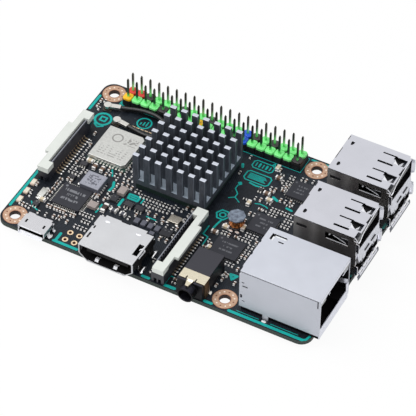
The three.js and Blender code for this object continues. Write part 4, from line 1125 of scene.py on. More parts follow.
def legged(x, y, length, width, height, legs=3):
    low, high = (x - length / 2, y - width / 2, 0.08), (x + length / 2, y + width / 2, height)
    slab(small_bodies, low, high, 0.1, 1, "top")
    for k in range(legs):
        along = (k - (legs - 1) / 2) * length / legs
        for way in (-1, 1):
            gull_wing(small_legs, x + along, y + way * width / 2, 0, way, height * 0.4, 0.55, 0.3)


for place in ((9.7, 26.4, 1.9, 1.3, 0.85), (9.4, 21.2, 1.6, 1.1, 0.8), (6.2, 8.9, 1.5, 1.2, 0.7, 2),
              (26.5, 19.4, 2.4, 1.4, 0.85), (29.5, 19.4, 2.4, 1.4, 0.85), (52.4, 39.6, 1.3, 0.9, 0.6, 2)):
    legged(*place)
piece("three_legged_bodies", small_bodies, matt("small chip resin", srgb(40, 40, 46), 0.45, 8.0))
piece("three_legged_legs", small_legs, tinned)
print("legged parts made")

# %% [markdown]
# The bodies get the colours of their ceramics, with a fine grain, and the ends and the solder get bright
# tin. Solder is rounder than a box, so its pads are only a film, and the finish bends its shading with soft
# noise.

# %% Finishes of the small parts
SMALL_BODIES = {
    "dark": ("resistor_bodies", srgb(34, 33, 38)), "tan": ("capacitor_bodies", srgb(112, 88, 72)),
    "cream": ("pale_capacitor_bodies", srgb(206, 192, 166)), "brown": ("diode_bodies", srgb(52, 34, 30)),
    "grey": ("small_coil_bodies", srgb(72, 74, 84))}
solder_finish = Finish("bright solder", Metallic=0.55)
lumps = solder_finish.noise(1.6, 2.0)
soft = solder_finish.spread(lumps, 0, 1)
solder_finish.paint(Base_Color=solder_finish.mix(soft, srgb(222, 220, 218), srgb(252, 251, 249)),
                    Roughness=soft * 0.2 + 0.25,
                    Normal=solder_finish.bump(lumps, 0.08, 0.7))
end_finish = Finish("tinned part ends", Metallic=0.45)
grain = end_finish.noise(3.0, 3.0)
end_finish.grained(
    grain, 0.3, 0.5, 0.03, 0.5,
    Base_Color=end_finish.cloud(grain, srgb(222, 219, 216), srgb(250, 249, 247)))

for colour, mesh in bodies.items():
    name, value = SMALL_BODIES[colour]
    piece(name, mesh, matt(colour + " ceramic", value, 0.45, 5.0))
piece("tinned_part_ends", ends, end_finish.material)
print("small parts in all:", part_count)

# %% [markdown]
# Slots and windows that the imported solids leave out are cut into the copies. Such cuts are easiest as a
# difference of two solids: the copy of the node, and a set of cutting blocks. A Boolean modifier works the
# difference out, and the evaluated mesh goes on to be bevelled.

# %% Cutting
def carved(mesh, cutters):
    whole, blocks = as_object("uncut", mesh), as_object("cutters", cutters)
    cut = whole.modifiers.new("cut", "BOOLEAN")
    cut.operation = "DIFFERENCE"
    cut.solver = "EXACT"
    cut.use_self = True
    cut.object = blocks
    bpy.context.view_layer.update()
    evaluated = whole.evaluated_get(bpy.context.evaluated_depsgraph_get())
    result = bmesh.new()
    result.from_mesh(evaluated.to_mesh())
    evaluated.to_mesh_clear()
    for used in (whole, blocks):
        data = used.data
        bpy.data.objects.remove(used)
        bpy.data.meshes.remove(data)
    return result


def cut_blocks(*blocks):
    """Cutting blocks, each given as x, y and z of its low corner and then of its high one."""
    cutters = bmesh.new()
    for block in blocks:
        slab(cutters, block[:3], block[3:])
    return cutters


print("shells to cut:", sorted(node for node in slot_of if node.endswith("_shell")))

# %% [markdown]
# ## Ribbon connectors
# Each ribbon connector holds fifteen contacts. Their tails leave the black comb on the side away from the
# latch, step down to the board and end in a drop of solder. The tails are gilded, and their slope down to
# the board is painted darker, as shade. A thin bright strip, a painted highlight, lies along each comb's top
# edge, where its gloss would catch the light. The solder drops are small domes, each an icosphere pressed
# flat.

# %% Housings
edges = bmesh.new()
for name, line_x in (("camera", 43.3), ("display", 4.38)):
    x0, y0, z0, x1, y1, z1 = box_mm(name + "_connector_housing")
    notches = []
    for end in (y0, y1 - 0.7):
        for start in (0.7, 1.9):
            notches.append((x0 + start, end - 0.3, -0.5, x0 + start + 0.75, end + 1.0, 1.45))
    soften(name + "_connector_housing", 0.05, plastics["comb"], cutters=cut_blocks(*notches))
    # A light slab along the comb's top edge is a painted highlight.
    slab(edges, (line_x, y0 + 1.0, z1 - 0.02), (line_x + 0.2, y1 - 1.0, z1 + 0.03))
piece("comb_edge_lines", edges, moulded("glossy comb edge", srgb(136, 140, 150), 0.3))
print("notches per housing:", len(notches))

# %% Contact tails and drops
def drop(mesh, x, y, wide, high, long, z=0.0, subdivisions=1):
    """An icosphere pressed flat, about a place on the board or at a height over it."""
    size = Vector((wide, long, high)) * MM
    place = Matrix.Translation(spot(x, y, z)) @ Matrix.Diagonal((*(size / 2), 1))
    bmesh.ops.create_icosphere(mesh, subdivisions=subdivisions, radius=1.0, matrix=place)


tails = bmesh.new()
drops = bmesh.new()
for k in range(15):
    y = 4.75 + 0.985 * k
    strip(tails, [(45.6, y, 0.8), (46.4, y, 0.76), (46.7, y, 0.16), (47.5, y, 0.08)], 0.46, 0.12, ACROSS_Y)
    drop(drops, 47.4, y, 0.7, 0.5, 0.6)
    y = 21.0 + 0.99 * k
    strip(tails, [(4.0, y, 0.8), (4.8, y, 0.76), (5.15, y, 0.16), (6.3, y, 0.08)], 0.38, 0.12, ACROSS_Y)
    drop(drops, 6.2, y, 0.72, 0.5, 0.56)
tail_finish = Finish("gilded tail", Metallic=0.5)
z = tail_finish.axes()[2]
grain = tail_finish.noise(3.0, 3.0)
gilt = tail_finish.cloud(grain, srgb(176, 152, 122), srgb(214, 190, 160))
# Painted shade: the slope of each tail, between 0.2 and 0.66 mm up, is made darker.
gilt = tail_finish.mix((z > 0.2) * (z < 0.66), gilt, srgb(96, 82, 72))
tail_finish.paint(Base_Color=tail_finish.mix(z < 0.2, gilt, srgb(160, 144, 120)),
                  Roughness=tail_finish.spread(grain, 0.28, 0.42))
piece("ribbon_contact_tails", tails, tail_finish.material)
print("tails:", 30)

# %% [markdown]
# The wireless module is a small board of its own with a metal can. Its edge pads are half holes, soldered
# down all round. The can's top carries faint rows of laser marks, here only short dashes.

# %% Wireless module
can_x0, can_y0, _, can_x1, _, can_top = box_mm("wireless_can")
can_finish = Finish("wireless can tin", Metallic=0.9)
x, y, z = can_finish.axes()
grain = can_finish.noise(2.4, 3.0)
broad = can_finish.noise(0.2)
words = can_finish.noise(1.9, 0.0, (1, 0.1, 0)) > 0.5
row_mask = abs((y - can_y0 - 1.4) / 0.78 % 1.0 - 0.5) < 0.17
lower = (y > can_y0 + 1.2) * (y < can_y0 + 4.9) * (abs(x - (can_x0 + can_x1) / 2) < 3.9)
block_noise = can_finish.noise(1.3, 0.0, (1, 1, 0)) > 0.5
upper = (y > can_y0 + 7.0) * (y < can_y0 + 9.6) * (x > can_x0 + 6.0) * (x < can_x0 + 9.4)
circle_x, circle_y = x - (can_x0 + 3.9), y - (can_y0 + 8.3)
round_mark = abs((circle_x * circle_x + circle_y * circle_y) ** 0.5 - 1.3) < 0.2
marks = (lower * row_mask * words) | (upper * block_noise) | round_mark
marks = marks * (z > can_top - 0.05)
tin = can_finish.cloud(grain, srgb(186, 187, 184), srgb(201, 201, 198))
can_finish.paint(Base_Color=can_finish.mix(marks * 0.8, tin, srgb(132, 130, 128)),
                 Roughness=can_finish.spread(broad, 0.38, 0.48),
                 Normal=can_finish.bump(grain * 0.2 - marks, 0.01, 0.4))
soften("wireless_can", 0.14, can_finish.material)

module_x0, module_y0, _, module_x1, module_y1, module_top = box_mm("wireless_board")
module_pads = bmesh.new()
MODULE_PITCH = 0.88
HALF_PAD = 0.25
for k in range(12):
    x, y = module_x0 + 0.65 + MODULE_PITCH * k, module_y0 + 1.1 + MODULE_PITCH * k
    for low, high in (((x - HALF_PAD, module_y0 - 0.28), (x + HALF_PAD, module_y0 + 0.3)),
                      ((x - HALF_PAD, module_y1 - 0.3), (x + HALF_PAD, module_y1 + 0.18)),
                      ((module_x0 - 0.18, y - HALF_PAD), (module_x0 + 0.3, y + HALF_PAD)),
                      ((module_x1 - 0.3, y - HALF_PAD), (module_x1 + 0.18, y + HALF_PAD))):
        slab(module_pads, (*low, 0), (*high, module_top + FILM), 0.05)
piece("wireless_module_pads", module_pads, tinned)
print("can marks between", round(can_y0 + 1.2, 2), "and", round(can_y0 + 9.6, 2))

# %% [markdown]
# ## The aerial lead
# A thin coaxial lead runs from the module to a socket by the header: it loops under the header's front edge
# and behind the heatsink. In the model it is a tube of straight lengths. Here it is a Bezier curve through
# the same points, given a round section and made a mesh, so that it bends evenly. Each end is crimped in a
# pale metal plug that snaps over a tiny round socket.

# %% Lead
LEAD_WIDTH = 1.2
lead_route = [
    (8.3, 48.0, 0.95), (9.7, 48.4, 1.0), (11.3, 48.8, 1.15), (13.5, 49.1, 1.4), (15.8, 49.12, 1.6),
    (18.0, 48.95, 1.6), (20.0, 48.3, 1.45), (21.7, 47.1, 1.25), (22.35, 45.5, 1.1), (22.0, 43.9, 1.0),
    (20.7, 42.75, 0.95), (18.7, 42.2, 0.95), (16.6, 42.3, 0.95), (14.7, 42.65, 0.95), (13.15, 42.88, 0.95)]
curve = bpy.data.curves.new("lead", "CURVE")
curve.dimensions = "3D"
curve.bevel_depth = LEAD_WIDTH / 2 * MM * 0.98
curve.bevel_resolution = 4
curve.use_fill_caps = True
curve.resolution_u = 6
line = curve.splines.new("BEZIER")
line.bezier_points.add(len(lead_route) - 1)
for point, place in zip(line.bezier_points, lead_route):
    point.co = spot(*place)
    point.handle_left_type = "AUTO"
    point.handle_right_type = "AUTO"
lead_curve = bpy.data.objects.new("lead_curve", curve)
scene.collection.objects.link(lead_curve)
bpy.context.view_layer.update()
lead_mesh = bmesh.new()
lead_mesh.from_mesh(lead_curve.to_mesh())
lead_curve.to_mesh_clear()
bpy.data.objects.remove(lead_curve)
bmesh.ops.remove_doubles(lead_mesh, verts=lead_mesh.verts, dist=0.001 * MM)
jacket = moulded("lead jacket", srgb(13, 12, 15), 0.3, 3.0, 0.002, 0.2, 0.4)
piece("aerial_lead_smooth", lead_mesh, jacket, ("aerial_lead",))
for node in ("aerial_plug_header_end", "aerial_plug_module_end"):
    soften(node, 0.08, metals["plug"])
for node in ("aerial_socket_header_end", "aerial_socket_module_end"):
    soften(node, 0.03, matt(node + " brass", srgb(66, 60, 54), 0.4, 3.0, 0.6))
print("points of the lead:", len(lead_route))

# %% [markdown]
# ## Coils, crystals and lights
# The power coil is a drum of ferrite wound with enamelled copper: its faces have a faint eight-sided
# outline. The square coil is moulded from iron powder, so its grey top is grained, and both stand in
# solder. The crystals are thin metal cans on a ceramic base. The lights are clear cream resin with gilded
# ends.

# %% Coils
drum_x, drum_y = 52.6, 26.4
drum = Finish("drum ferrite", Specular_IOR_Level=0.5)
z = drum.axes()[2]
grain = drum.noise(1.2, 3.0)
ferrite = drum.cloud(grain, srgb(72, 80, 96), srgb(128, 140, 156))
# Painted shade: below 1 mm the drum is made dark, for the shade under the winding.
drum.grained(
    grain, 0.3, 0.5, 0.05, 0.5,
    Base_Color=drum.mix(z < 1.0, ferrite, srgb(46, 40, 42)))
soften("drum_inductor_core", 0.12, drum.material, turn=40)
soften("drum_inductor_winding", 0.01, coats["copper_wire"], turn=80)
coil = bmesh.new()
for level in range(8):
    turn_low = 0.68 + 0.23 * level
    ring(coil, drum_x, drum_y, 1.4, 1.93 - 0.02 * (level % 2), turn_low, turn_low + 0.2, 28)
piece("drum_inductor_turns", coil, coats["copper_wire"])

powder = Finish("iron powder moulding", Specular_IOR_Level=0.4)
x, y, z = powder.axes()
x0, y0, z0, x1, y1, z1 = box_mm("supply_inductor")
grain = powder.noise(3.5, 3.0)
cells = powder.noise(1.5, 0.0, (1, 1, 0)) > 0.52
stamped = cells * (abs(x - (x0 + x1) / 2) < 1.6) * (abs(y - (y0 + y1) / 2) < 1.6) * (z > z1 - 0.05)
# Painted shade: the coil's sides are made darker than its top.
side = z < z1 - 0.2
top_colour = powder.mix(stamped * 0.75, powder.cloud(grain, srgb(136, 138, 149), srgb(160, 162, 173)),
                        srgb(62, 63, 74))
powder.grained(
    grain, 0.45, 0.6, 0.02, 0.5,
    Base_Color=powder.mix(side, top_colour, srgb(84, 86, 97)))
soften("supply_inductor", 0.16, powder.material)
for node in ("core_inductor_near", "core_inductor_far"):
    soften(node, 0.1, matt(node + " moulding", srgb(156, 146, 142), 0.5, 4.0))
for which in ("1", "2", "3", "4", "end"):
    soften("video_choke_" + which, 0.06, matt("choke ferrite " + which, srgb(86, 88, 100), 0.5, 4.0))
soften("network_crystal", 0.1, metals["crystal"])
soften("audio_crystal", 0.1, sheet_metal("small crystal can", srgb(216, 216, 212), 0.34))

LIGHT_STEP = 3.3
light_finish = Finish("cream light resin", Specular_IOR_Level=0.5)
y = light_finish.axes()[1]
grain = light_finish.noise(3.0, 3.0)
ends_mask = abs(abs((y + 18.0) / LIGHT_STEP % 1.0 - 0.5) - 0.5) > 0.2
resin = light_finish.cloud(grain, srgb(216, 206, 188), srgb(232, 224, 208))
light_finish.paint(Base_Color=light_finish.mix(ends_mask * 0.7, resin, srgb(206, 178, 160)),
                   Roughness=light_finish.spread(grain, 0.25, 0.4))
for k in range(1, 4):
    soften("status_light_%d" % k, 0.06, light_finish.material)
print("lights dressed:", 3)

# %% [markdown]
# ## Sockets
# The sockets are folded from tinned sheet, and the folding leaves slots, windows and springs everywhere.
#
# The two USB sockets are the same. Seen from above, each port's springs are tongues between two slots, with
# a window in front of each tongue. The top plate's front edge is cut back between the windows and at the
# corners, the sides have long windows with a spring each, and the lip at the bottom is pierced.

# %% USB shells
USB_UNITS = {"far": 46.9, "middle": 28.9}
USB_HALF = 6.5
PORTS = {"lower": 2.2, "upper": 9.7}
SPRING_EDGES = (4.6, -1.5)


def blocks_at(line, *rows):
    """Blocks whose y counts from a line."""
    return [(x0, line + y0, z0, x1, line + y1, z1) for x0, y0, z0, x1, y1, z1 in rows]


def usb_cuts(y):
    blocks = []
    for edge in SPRING_EDGES:
        blocks += blocks_at(
            y + edge, (79.2, -3.42, 15.0, 83.2, -2.82, 16.0), (79.3, -0.2, 15.0, 83.0, 0.22, 16.0),
            (82.5, -1.0, 15.0, 83.1, 0.1, 16.0), (82.7, -2.7, 15.0, 83.1, -2.3, 16.0))
    blocks += blocks_at(
        y, (85.76, -0.72, 15.1, 86.6, 1.75, 16.0), (85.98, -0.8, 15.1, 86.6, 2.2, 16.0),
        (85.45, -6.8, 14.3, 86.6, -4.3, 16.0), (85.7, 5.85, 14.6, 86.6, 6.8, 16.0),
        (71.1, 3.2, 15.1, 71.6, 4.45, 16.0), (71.1, -4.7, 15.1, 71.6, -3.35, 16.0),
        (69.5, -2.6, 14.9, 69.95, 1.4, 15.9), (69.5, 4.5, 14.9, 69.95, 6.0, 15.9))
    windows = [(78.0, floor + 2.2, 84.0, floor + 4.4) for floor in PORTS.values()]
    for x0, z0, x1, z1 in windows + [(70.4, 12.6, 73.2, 13.5)]:
        blocks += blocks_at(y, (x0, -6.9, z0, x1, -6.0, z1), (x0, 6.0, z0, x1, 6.9, z1))
    for across in (-3.6, -1.2, 1.2, 3.6):
        blocks += blocks_at(y + across, (86.3, -0.75, 0.9, 86.76, 0.75, 2.6))
    return cut_blocks(*blocks)


def shaded_inside(name, colour, rooms, roughness=0.3, stretch=EVEN, sides=(), shaded_side_y=None):
    """Sheet metal with painted shade, dark and dull, in the rooms given as boxes, a painted reflection on
    the sides at the given y, and painted shade, a little darker and less metallic, on the one side whose y
    is given last.
    """
    finish = Finish(name, Specular_IOR_Level=0.2)
    x, y, z = finish.axes()
    rolled = finish.noise(5.0, 3.0, stretch)
    broad = finish.noise(0.18)
    # Painted shade: inside the rooms the steel is made nearly black.
    painted_room_shade = 0
    for x0, y0, z0, x1, y1, z1 in rooms:
        painted_room_shade = (x > x0) * (x < x1) * (y > y0) * (y < y1) * (z > z0) * (z < z1) | painted_room_shade
    tone = finish.spread(broad, 0.0, 0.7) + finish.spread(rolled, 0.0, 0.3)
    metal = finish.mix(tone, toned(colour, 0.955), toned(colour, 1.03))
    metallic = 1 - painted_room_shade * 0.95
    if sides:
        # Painted reflection on the sides: a pale band near x 75 and at the rear end, over a grey.
        gleam = (1 - abs(x - 75.0) / 1.7 | (72.2 - x) / 1.5 | 0) * 0.9
        gleam = gleam + finish.spread(finish.noise(0.3, 2.0), 0.0, 0.3)
        side = 0
        for at in sides:
            side = (abs(y - at) < 0.12) * (z < 15.4) | side
        metal = finish.mix(side, metal, finish.mix(gleam, srgb(152, 147, 145), srgb(206, 202, 198)))
        metallic = metallic - side * (90.0 - x) / 90
    if shaded_side_y is not None:
        # Painted shade: the one side given last is made a little darker.
        dull = (abs(y - shaded_side_y) < 0.12) * (z < 13.4) * (1 - painted_room_shade)
        metal = finish.mix(dull, metal, finish.mix(tone, toned(colour, 0.86), toned(colour, 0.93)))
        metallic = metallic - dull * 0.7
    return finish.paint(
        Base_Color=finish.mix(painted_room_shade, metal, srgb(14, 13, 14)),
        Metallic=metallic,
        Roughness=finish.spread(rolled, roughness - 0.04, roughness + 0.05) + painted_room_shade * 0.3,
        Normal=finish.bump(rolled, 0.003, 0.3))


# Painted shade inside each port, and a painted reflection on the near side of each unit.
usb_rooms = [(70.0, y - 6.21, floor - 0.01, 86.3, y + 6.21, floor + 5.61)
             for y in USB_UNITS.values() for floor in PORTS.values()]
usb_metal = shaded_inside("socket steel", srgb(207, 208, 216), usb_rooms, 0.17, ALONG_X,
                          [y - USB_HALF for y in USB_UNITS.values()])
for unit, y in USB_UNITS.items():
    soften("usb_%s_shell" % unit, 0.09, usb_metal, cutters=usb_cuts(y))
print("edges and faces:", {n: softened[n] for n in ("usb_far_shell", "usb_middle_shell")})

# %% [markdown]
# Springs, lips and the fingers between the ports are bent strips. The tongue of each port reaches nearly to
# the front, and its rim catches the light, so it gets its own piece with a rounded rim.

# %% USB springs and lips
def folded(mesh, rows, thick=0.12):
    """A sheet drawn through rows of points, with a thickness."""
    part = bmesh.new()
    lines = [[part.verts.new(spot(*point)) for point in row] for row in rows]
    for one, other in zip(lines, lines[1:]):
        for k in range(len(one) - 1):
            part.faces.new((one[k], one[k + 1], other[k + 1], other[k]))
    bmesh.ops.recalc_face_normals(part, faces=part.faces)
    bmesh.ops.solidify(part, geom=part.faces[:], thickness=thick * MM)
    add_to(mesh, part)


springs_and_highlights = bmesh.new()
side_springs = bmesh.new()
lips = bmesh.new()
bars = bmesh.new()
painted_shadow_strips = bmesh.new()
tongues = bmesh.new()
for y in USB_UNITS.values():
    for edge in SPRING_EDGES:
        middle = y + edge - 1.7
        strip(springs_and_highlights, [(82.7, middle, 15.4), (83.2, middle - 0.2, 15.25), (83.8, middle - 0.35, 15.0),
                        (84.2, middle - 0.4, 14.85)], 2.0, 0.1, ACROSS_Y, widths=(2.2, 1.6, 1.1, 0.9))
        strip(springs_and_highlights,
              [(84.25, middle - 0.1, 14.9), (84.6, middle + 0.1, 15.1), (85.0, middle + 0.3, 15.45)],
              0.8, 0.1, ACROSS_Y, widths=(0.7, 0.8, 0.9))
    for floor in PORTS.values():
        for way in (-1, 1):
            side = y + way * (USB_HALF - 0.12)
            strip(side_springs,
                  [(84.0, side, floor + 3.35), (82.0, side - way * 0.3, floor + 3.5),
                   (80.2, side - way * 0.5, floor + 3.75), (79.4, side - way * 0.3, floor + 3.85)],
                  1.6, 0.1, ACROSS_Z, widths=(1.9, 1.2, 0.6, 0.4))
            rim = side + way * 0.02
            # Painted highlights: bright strips along the side windows' edges and across each window stand
            # for the light on those edges and on the spring.
            strips(springs_and_highlights, ACROSS_Z,
                   (0.18, 0.08, (80.0, rim, floor + 4.0), (82.0, rim, floor + 3.3),
                    (84.0, rim, floor + 2.6)),
                   (0.14, 0.06, (82.2, rim, floor + 4.2), (83.9, rim, floor + 4.25)),
                   (0.4, 0.1, (78.9, rim, floor + 3.75), (79.3, rim, floor + 3.95)),
                   (0.24, 0.08, (78.2, rim, floor + 2.22), (83.9, rim, floor + 2.22)))
        lip = y + USB_HALF - 0.1
        strip(lips, [(85.9, lip, floor + 2.95), (86.3, lip, floor + 2.95), (86.95, lip + 0.2, floor + 2.95)],
              4.6, 0.14, ACROSS_Z, widths=(4.7, 4.7, 4.2))
        slab(tongues, (84.6, y - 5.55, floor + 3.12), (86.0, y + 5.55, floor + 4.94), 0.22, 2)
    # The V lip at the near front corner is real, and bright for its highlight; the line along the top
    # plate's front edge and the upright line on the near side's front edge are bright strips that paint edge
    # highlights.
    strips(springs_and_highlights, ACROSS_Z,
           (0.34, 0.12, (85.6, y - 6.4, 15.38), (86.2, y - 6.42, 14.8), (86.75, y - 6.42, 14.15),
            (86.85, y - 6.1, 14.35), (86.9, y - 5.8, 14.6)),
           (0.2, 0.1, (86.88, y - 5.8, 14.6), (86.62, y - 3.6, 14.98), (86.38, y + 0.6, 15.34),
            (86.28, y + 5.6, 15.46)))
    strip(springs_and_highlights, [(86.28, y - 6.58, 13.9), (86.28, y - 6.58, 9.9)], 0.32, 0.1)
    folded(lips, [[(86.25, y + along, top), (86.3, y + along, 9.0), (86.45, y + along, 7.9),
                   (86.75, y + along, 7.1), (86.7, y + along, 6.6)]
                  for along, top in ((-5.5, 10.35), (-2.0, 10.2), (2.5, 9.95), (6.2, 9.7))])
    for middle in (y - 2.9, y + 3.3):
        strip(lips, [(86.68, middle, 6.7), (86.75, middle, 6.0), (86.5, middle, 5.1),
                     (85.9, middle + 0.1, 4.6), (84.9, middle + 0.1, 4.9)],
              2.8, 0.12, ACROSS_Y, widths=(3.6, 2.8, 2.2, 1.7, 1.3))
        # Painted shadow: dark strips in the gaps beside the fingers, along the top plate's rear edge and in
        # the divider panel's slits.
        strips(painted_shadow_strips, ACROSS_Y, (0.22, 0.06, (86.8, middle - 0.5, 6.5), (86.88, middle - 0.5, 5.9),
                                 (86.65, middle - 0.45, 5.0)))
    for low, high in ((-2.58, 1.38), (4.52, 5.98)):
        slab(painted_shadow_strips, (69.72, y + low, 15.0), (69.93, y + high, 15.56), 0.04)
    for low, high, level in ((1.5, 3.8, 7.8), (-2.0, 0.4, 7.75)):
        slab(painted_shadow_strips, (86.4, y + low, level - 0.2), (86.68, y + high, level + 0.2), 0.04)
    for at in (y - 4.3, y - 1.4, y + 1.4, y + 4.3):
        strips(springs_and_highlights, ACROSS_Y, (0.9, 0.1, (85.9, at, 2.25), (86.4, at, 2.6), (86.8, at, 2.2)))
    strips(bars, ACROSS_Y, (11.4, 0.14, (86.72, y, 1.9), (86.9, y, 1.5), (86.95, y, 0.75)))
plated = matt("plated spring steel", srgb(236, 237, 242), 0.32, 4.0, 0.35)
piece("usb_springs", springs_and_highlights, plated)
# Painted shade: the springs in the side windows are given a dark grey for the shade inside the windows.
shaded_side_spring = sheet_metal("dull spring steel", srgb(84, 84, 88), stretch=ALONG_X)
piece("usb_side_springs", side_springs, shaded_side_spring)
piece("usb_lips", lips, matt("plated lips", srgb(204, 206, 214), 0.34, 1.2, 0.5), turn=50)
piece("usb_slits", painted_shadow_strips, moulded("socket gaps", srgb(30, 30, 36), 0.6))
piece("usb_bottom_bars", bars, matt("plated bar", srgb(96, 99, 108), 0.4, 1.2, 0.25))
tongue_finish = moulded("usb tongue plastic", srgb(34, 37, 44), 0.36, 5.0, 0.004, 0.15)
piece("usb_tongues", tongues, tongue_finish, even=True)

contacts = bmesh.new()
for y in USB_UNITS.values():
    for floor in PORTS.values():
        for k in range(4):
            along = y + (k - 1.5) * (2.0 if k in (1, 2) else 2.33)
            slab(contacts, (78.0, along - 0.5, floor + 3.02), (85.2, along + 0.5, floor + 3.14), 0.04)
piece("usb_contacts", contacts, coats["gold_contact"])
for unit in USB_UNITS:
    core_finish = moulded("usb core plastic " + unit, srgb(14, 14, 16), sheen=0.0, specular=0.15)
    soften("usb_%s_core" % unit, 0.08, core_finish)
print("contacts:", 16)

# %% [markdown]
# The network socket is a plain box with a seam where the cover was folded over, an L-shaped window with its
# tab bent in, some small slits, and a wide mouth with eight sprung wires. The mouth's frame is black.

# %% Network socket
NET_Y = 10.2
# Painted shade inside the box, along the seam under the top edge and at the seam's front end, and a little
# darker on the near side.
network_metal = shaded_inside("network socket steel", srgb(195, 198, 207),
                              [(66.2, 2.6, 1.0, 86.75, 17.78, 13.19), (65.8, 2.34, 12.98, 86.4, 2.55, 13.22),
                               (86.0, 2.34, 10.7, 86.4, 2.7, 13.1)], 0.42, ALONG_X, shaded_side_y=2.3)
soften("network_shell", 0.08, network_metal, cutters=cut_blocks(
    (65.7, 2.2, 13.0, 86.3, 2.5, 13.2), (86.02, 2.2, 10.8, 86.3, 2.8, 13.1),
    (66.4, 2.2, 9.4, 67.1, 2.8, 9.75), (66.6, 2.2, 8.2, 68.0, 2.8, 8.65),
    (66.0, 2.2, 4.2, 66.6, 2.8, 5.4), (66.6, 2.2, 3.2, 67.3, 2.8, 3.5),
    (69.6, 14.45, 13.1, 70.95, 14.85, 13.9), (82.0, 17.7, 9.0, 84.4, 18.4, 11.0),
    (65.6, 2.2, 12.2, 66.05, 4.0, 13.6), (65.6, 8.0, 12.9, 66.0, 9.0, 13.6),
    (65.6, 12.5, 12.9, 66.0, 13.3, 13.6), (67.25, 16.25, 13.0, 70.95, 16.6, 13.9),
    (67.25, 14.6, 13.0, 67.6, 16.6, 13.9)))
core_finish = moulded("network core plastic", srgb(9, 8, 10), 0.6, sheen=0.0, specular=0.08)
soften("network_core", 0.1, core_finish, cutters=cut_blocks(
    (83.0, 2.9, 3.2, 87.5, 16.7, 10.7), (85.6, 5.6, 3.2, 87.5, 14.7, 12.2),
    (86.2, 2.9, 10.5, 87.5, 5.7, 12.2), (84.5, 16.0, 4.0, 87.5, 17.5, 10.6)))
net = bmesh.new()
for k in range(8):
    y = NET_Y + (k - 3.5) * 1.02
    strip(net, [(85.4, y, 10.0), (84.2, y, 9.75), (79.5, y, 6.6), (78.9, y, 6.9)], 0.4, 0.12, ACROSS_Y)
strips(net, ACROSS_Z, (1.5, 0.12, (86.75, 17.4, 6.2), (86.2, 17.2, 6.2), (84.8, 16.8, 6.3),
                       (83.4, 17.2, 6.4)))
slab(net, (86.5, 14.3, 10.75), (86.78, 17.3, 11.0), 0.06)
strips(net, ACROSS_Y, (0.7, 0.12, (86.76, 7.3, 11.6), (86.6, 7.5, 10.9), (86.1, 7.7, 10.6)),
       (0.7, 0.1, (86.76, 3.6, 12.1), (86.6, 3.6, 11.0), (86.3, 3.6, 10.2)))
strip(net, [(86.76, 5.2, 12.1), (86.5, 5.2, 11.2), (86.0, 5.2, 10.8)], 1.2, 0.1, ACROSS_Y,
      widths=(1.4, 1.0, 0.7))
slab(net, (86.55, 2.62, 12.25), (86.78, 17.78, 13.16), 0.05)
slab(net, (86.5, 16.75, 0.12), (86.78, 17.78, 5.4), 0.05)
slab(net, (86.5, 2.62, 0.12), (86.78, 16.9, 3.25), 0.05)
slab(net, (86.5, 2.6, 3.0), (86.78, 2.86, 12.4), 0.05)
flange_finish = matt("plated flange", srgb(214, 216, 226), 0.3, 3.0, 0.9)
piece("network_springs_and_flanges", net, flange_finish)
window_tab = bmesh.new()
slab(window_tab, (67.74, 14.3, 13.18), (68.2, 16.28, 13.36), 0.03)
slab(window_tab, (67.74, 15.8, 13.18), (71.12, 16.28, 13.36), 0.03)
tab_finish = matt("plated tab", srgb(226, 229, 232), 0.4, 3.0, 0.3)
piece("network_window_tab", window_tab, tab_finish)
smoky = moulded("light pipe plastic", srgb(118, 122, 122), 0.22, 3.0, 0.002)
for way in ("near", "far"):
    soften("network_light_pipe_" + way, 0.1, smoky)
print("network wires:", 8)

# %% [markdown]
# The video socket's cover is folded from one sheet: its rear edge is stepped, two dimples hold the core,
# and a small spring stands in the window at its right. Inside its mouth it is painted nearly black, as
# shade, but for two bright springs on the floor and the tongue with its contacts. The outer face of its
# right side is painted nearly black too, as shade, bright strips along the mouth's rim paint its highlights,
# and two lighter sheets inside the mouth paint its reflections.

# %% Video socket
VIDEO_X = 32.1
# Painted shade: the first room is the mouth, the second the outer face of the right side.
video_rooms = [(25.0, -1.8, 0.88, 39.2, 9.1, 5.41), (39.3, -1.7, 0.0, 39.8, 9.6, 5.3)]
video_metal = shaded_inside("video socket steel", srgb(200, 201, 204), video_rooms, 0.36, ALONG_Y)
soften("video_shell", 0.09, video_metal, cutters=cut_blocks(
    (24.3, 8.7, 0.0, 26.1, 9.6, 6.2), (37.4, 8.6, 4.0, 39.9, 9.6, 6.2),
    (30.3, 9.12, 3.0, 32.7, 9.6, 6.2), (25.22, 4.2, 5.2, 25.62, 5.2, 6.2),
    (24.3, 4.8, 3.6, 25.0, 5.6, 6.2)))
video_bits = bmesh.new()
for x, y in ((27.4, 7.6), (36.0, 7.4)):
    drop(video_bits, x, y, 1.6, 0.2, 0.72, 5.66, 2)
for x in (29.2, 34.3):
    strip(video_bits, [(x, 0.3, 0.95), (x, -0.3, 1.5), (x, -0.9, 1.45), (x, -1.4, 0.95)], 0.95, 0.12)
strips(video_bits, ACROSS_Y,
       (0.4, 0.12, (38.6, 3.1, 5.68), (39.2, 3.7, 5.78), (39.5, 3.9, 5.5), (39.62, 3.9, 4.9)))
